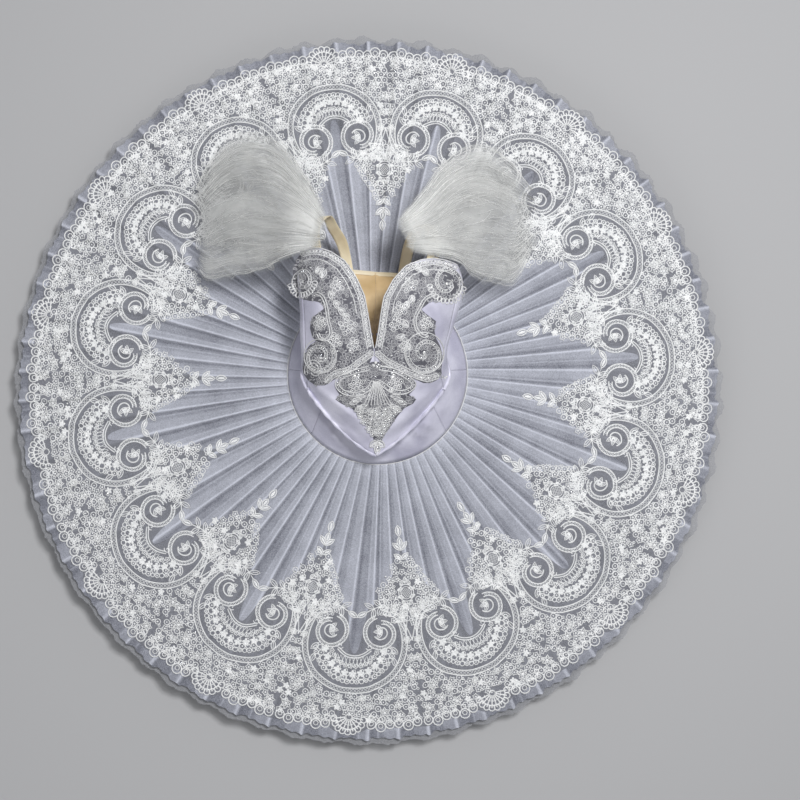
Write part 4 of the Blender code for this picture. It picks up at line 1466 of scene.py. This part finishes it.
def draw_middle(threads):
    """The two lobes under the V, the ribbed fan, the leaves and the drop at the point."""
    cords, beads = threads["cord"], threads["bead"]
    lobes = [
        [(5, 30), (-14, 25), (-33, 18), (-39, 7), (-29, -3), (-11, -5), (3, 2), (10, 12)],
        [(19, 30), (40, 26), (58, 16), (65, 7), (53, -2), (36, -1), (23, 8), (16, 12)],
    ]
    for lobe in lobes:
        line = curve_through(lobe)
        draw_double(cords, line, 5.0, 1.5, 2.5)
        for point in resample(line, 3.8):
            beads.bead(point, 1.1, 1.9)
        inner = np.mean(lobe, axis=0)
        scatter_rings(threads, (inner[0], inner[1] - 3), 9, 10)
    for centre in ((-12, 20), (35, 20), (14, 34)):
        for k in range(4):
            spot = (centre[0] + 3 * math.cos(k * 1.7), centre[1] + 3 * math.sin(k * 1.7))
            beads.bead(spot, 2.0, 2.4, sides=8)
    for k in range(-4, 5):
        rib = curve_through([(14 + k * 0.8, 12), (15 + k * 2.6, -4), (16 + k * 4.8, -20)])
        cords.cord(rib, 1.5, 2.4)
    for side in (-1, 1):
        for k, (away, y) in enumerate(((28, -8), (36, -12), (44, -15), (26, -20), (34, -22))):
            start = (16 + side * away * 0.6, y)
            leaf(cords, start, (90 - side * (90 + k * 7)) * DEG, 14, 5.5, rise=1.6)
            beads.bead((start[0] + side * 7, start[1]), 1.3, 1.9)
    local = random.Random("point")
    for y in np.arange(-26, -66, -5.0):
        half = 30 * (1 + (y + 26) / 48)
        centre = 17 + (y + 26) * 0.06
        for x in np.arange(-half, half + 0.1, 6.2):
            here = (centre + x + local.uniform(-1.6, 1.6), y + local.uniform(-1.6, 1.6))
            if local.random() < 0.55:
                cords.ring(here, local.uniform(2.2, 3.2), 1.2, 2.4, sides=8)
            else:
                cords.outline_flower(here, 4.0, x, 1.2, 2.4)
            beads.bead(here, 1.4, 3.0)
    drop = (14.5, -70)
    for turn in (-142, -90, -38):
        leaf(cords, drop, turn * DEG, 20 if turn == -90 else 13, 8.0, rise=2.4, full=True)
    beads.dome((14.5, -81), 2.6, 4.4, 0, 3.4, sides=8)


def fill_lace(threads, rows, seed):
    """Small rings, blossoms and beads over the rest of a lace part."""
    ground, beads = threads["fill"], threads["bead"]
    local = random.Random(seed)
    step = 5.6
    y = rows[-1][0] + 2.5
    line = 0
    while y < rows[0][0] - 1:
        x = -102 + (line % 2) * step / 2
        while x < 136:
            here = (x + local.uniform(-0.8, 0.8), y + local.uniform(-0.8, 0.8))
            pick = local.random()
            if inside_patch(rows, *here, margin=1.6) and pick < 0.88:
                if pick < 0.34:
                    ground.ring(here, 2.3, 1.2, 1.3, sides=7)
                elif pick < 0.70:
                    ground.outline_flower(here, 3.4, pick * 20, 1.15, 1.3)
                else:
                    ground.dome(here, 2.8, 1.2, pick * 30, 1.3, sides=6)
                if local.random() < 0.28:
                    beads.bead(here, 1.0, 1.4)
            x += step
        y += step * 0.86
        line += 1


def make_bodice_lace(grids):
    cloth = Cloth([grids[name] for name in grids if "back" not in name])
    parts = [
        ("lace_cup_left", patch_edges(LACE_LEFT, -1), (0.13, 0.20), -1),
        ("lace_cup_right", patch_edges(LACE_RIGHT, 1), (0.14, 0.20), 1),
        ("lace_front_point", patch_edges(LACE_MIDDLE, 0), (0.12, 0.14), 0),
    ]
    for name, rows, flat, side in parts:
        threads = {"cord": Threads(base=1.7), "fill": Threads(base=1.4), "bead": Threads(base=2.2)}
        if side:
            draw_cup(threads, side)
        else:
            draw_middle(threads)
        fill_lace(threads, rows, name)
        pieces = [
            threads["cord"].make(name + "_cords", cloth.height, SILVER_CORD, "beaded_lace"),
            # the ground's threads take the darker silver: painted shade between the cords
            threads["fill"].make(name + "_ground", cloth.height, SILVER_SHADED, "beaded_lace"),
            threads["bead"].make(name + "_beads", cloth.height, BEAD, "beaded_lace"),
        ]
        make_patch(name + "_net", name, rows, cloth)


# ---------------------------------------------------------------- what the skirt hides

LEG = {"x": 68.0, "half_width": 36.0, "half_length": 58.0}
PANTY_OUTLINE = [(122, 83), (121, 45), (114, 14), (98, 4), (60, 2.4), (3, 2.4)]


def make_panty():
    """The net panty: a shallow bowl with two leg openings, and elastic round each."""
    around = 120
    radii, heights = zip(*PANTY_OUTLINE)
    lengths = np.concatenate([[0], np.cumsum(np.hypot(np.diff(radii), np.diff(heights)))])
    at = np.linspace(0, lengths[-1], 60)
    profile = np.column_stack([np.interp(at, lengths, radii), np.interp(at, lengths, heights)])
    angles = np.arange(around) * 360 / around
    points, holes = [], []
    for radius, z in profile:
        x, y = polar_xy(angles, radius)
        hole = np.zeros(around, bool)
        for side in (-1, 1):
            dx = (x - HIP[0] - side * LEG["x"]) / LEG["half_width"]
            dy = (y - HIP[1]) / LEG["half_length"]
            far = np.hypot(dx, dy)
            near = (far < 1.06) & (far > 0.9)
            x = np.where(near, HIP[0] + side * LEG["x"] + dx / far * LEG["half_width"], x)
            y = np.where(near, HIP[1] + dy / far * LEG["half_length"], y)
            hole |= far <= 0.9
        holes.append(hole)
        points.append(np.column_stack([x, y, z + smooth_noise(x, y, 20, 4) * 0.5 + 0.6]))
    hole = np.array(holes).ravel()
    faces = [f for f in grid_faces(len(profile), around, closed=True) if not any(hole[i] for i in f)]
    used = sorted({i for face in faces for i in face})
    renumber = {old: new for new, old in enumerate(used)}
    faces = [tuple(renumber[i] for i in face) for face in faces]
    obj = make_mesh("panty_net", np.concatenate(points)[used], faces, NET_UNDER)
    stands_for("panty")
    a = np.linspace(0, 2 * math.pi, 97)
    for word, side in (("left", -1), ("right", 1)):
        x = HIP[0] + side * LEG["x"] + LEG["half_width"] * np.cos(a)
        y = HIP[1] + LEG["half_length"] * np.sin(a)
        z = np.interp(-np.hypot(x - HIP[0], y - HIP[1]), -np.array(radii), heights) + 1.4
        roll = make_roll(f"panty_leg_{word}", np.column_stack([x, y, z]), 1.2, ELASTIC)


def make_base_layer():
    """The lowest and shortest layer of net, flat under the panty."""
    low, high = box_mm("net_layer_8")
    z = (low[2] + high[2]) / 2
    angles = np.arange(240) * 1.5
    reach = 0.40 + 0.004 * np.sin(angles * 40 * DEG)
    shares = np.linspace(0, 1, 8)[:, None]
    distance = HIP_R + (rim_distance(angles) - HIP_R) * reach * shares
    x, y = polar_xy(angles[None, :], distance)
    obj, area = net_ring("net_layer_8_net", "net_layer_8", x, y, z, NET_UNDER)


# ---------------------------------------------------------------- build

make_skirt()
make_basque()
make_bodice_lace(make_bodice())
make_straps()
make_sleeves()
make_panty()
make_base_layer()


# ---------------------------------------------------------------- floor, light, camera

# The lamps: name, place in metres, size in metres and power in watts
LAMPS = [
    ("key", (0.7, 0.75, 2.85), 0.5, 62), ("fill", (-1.0, -1.8, 1.9), 1.8, 9),
    ("top", (-0.3, 0.3, 3.4), 2.2, 7),
]
LAMPS_AIM = Vector((0, 0, 0.05))
CAMERA_PLACE, CAMERA_LENS = (0.046, -0.013, 2.2), 66.7


def make_floor():
    bpy.ops.mesh.primitive_plane_add(size=24)
    floor = bpy.context.object
    floor.name = "floor"
    floor.data.materials.append(new_material("floor", (0.50, 0.50, 0.51), 0.9)[0])
    floor.location.z = -0.0005


def make_light():
    world = bpy.data.worlds.new("studio")
    world.use_nodes = True
    background = world.node_tree.nodes["Background"]
    background.inputs["Color"].default_value = (0.93, 0.96, 1.0, 1)
    background.inputs["Strength"].default_value = 0.18
    bpy.context.scene.world = world
    for name, place_at, size, power in LAMPS:
        data = bpy.data.lights.new(name, "AREA")
        data.size = size
        data.energy = power
        lamp = bpy.data.objects.new(name, data)
        lamp.location = place_at
        lamp.rotation_euler = (LAMPS_AIM - lamp.location).to_track_quat("-Z", "Y").to_euler()
        bpy.context.scene.collection.objects.link(lamp)


def make_camera():
    """Nearly straight above the skirt's middle, looking down."""
    data = bpy.data.cameras.new("camera")
    data.lens = CAMERA_LENS
    camera = bpy.data.objects.new("camera", data)
    camera.location = CAMERA_PLACE
    bpy.context.scene.collection.objects.link(camera)
    bpy.context.scene.camera = camera
    bpy.context.scene.view_settings.view_transform = "Standard"


make_floor()
make_light()
make_camera()
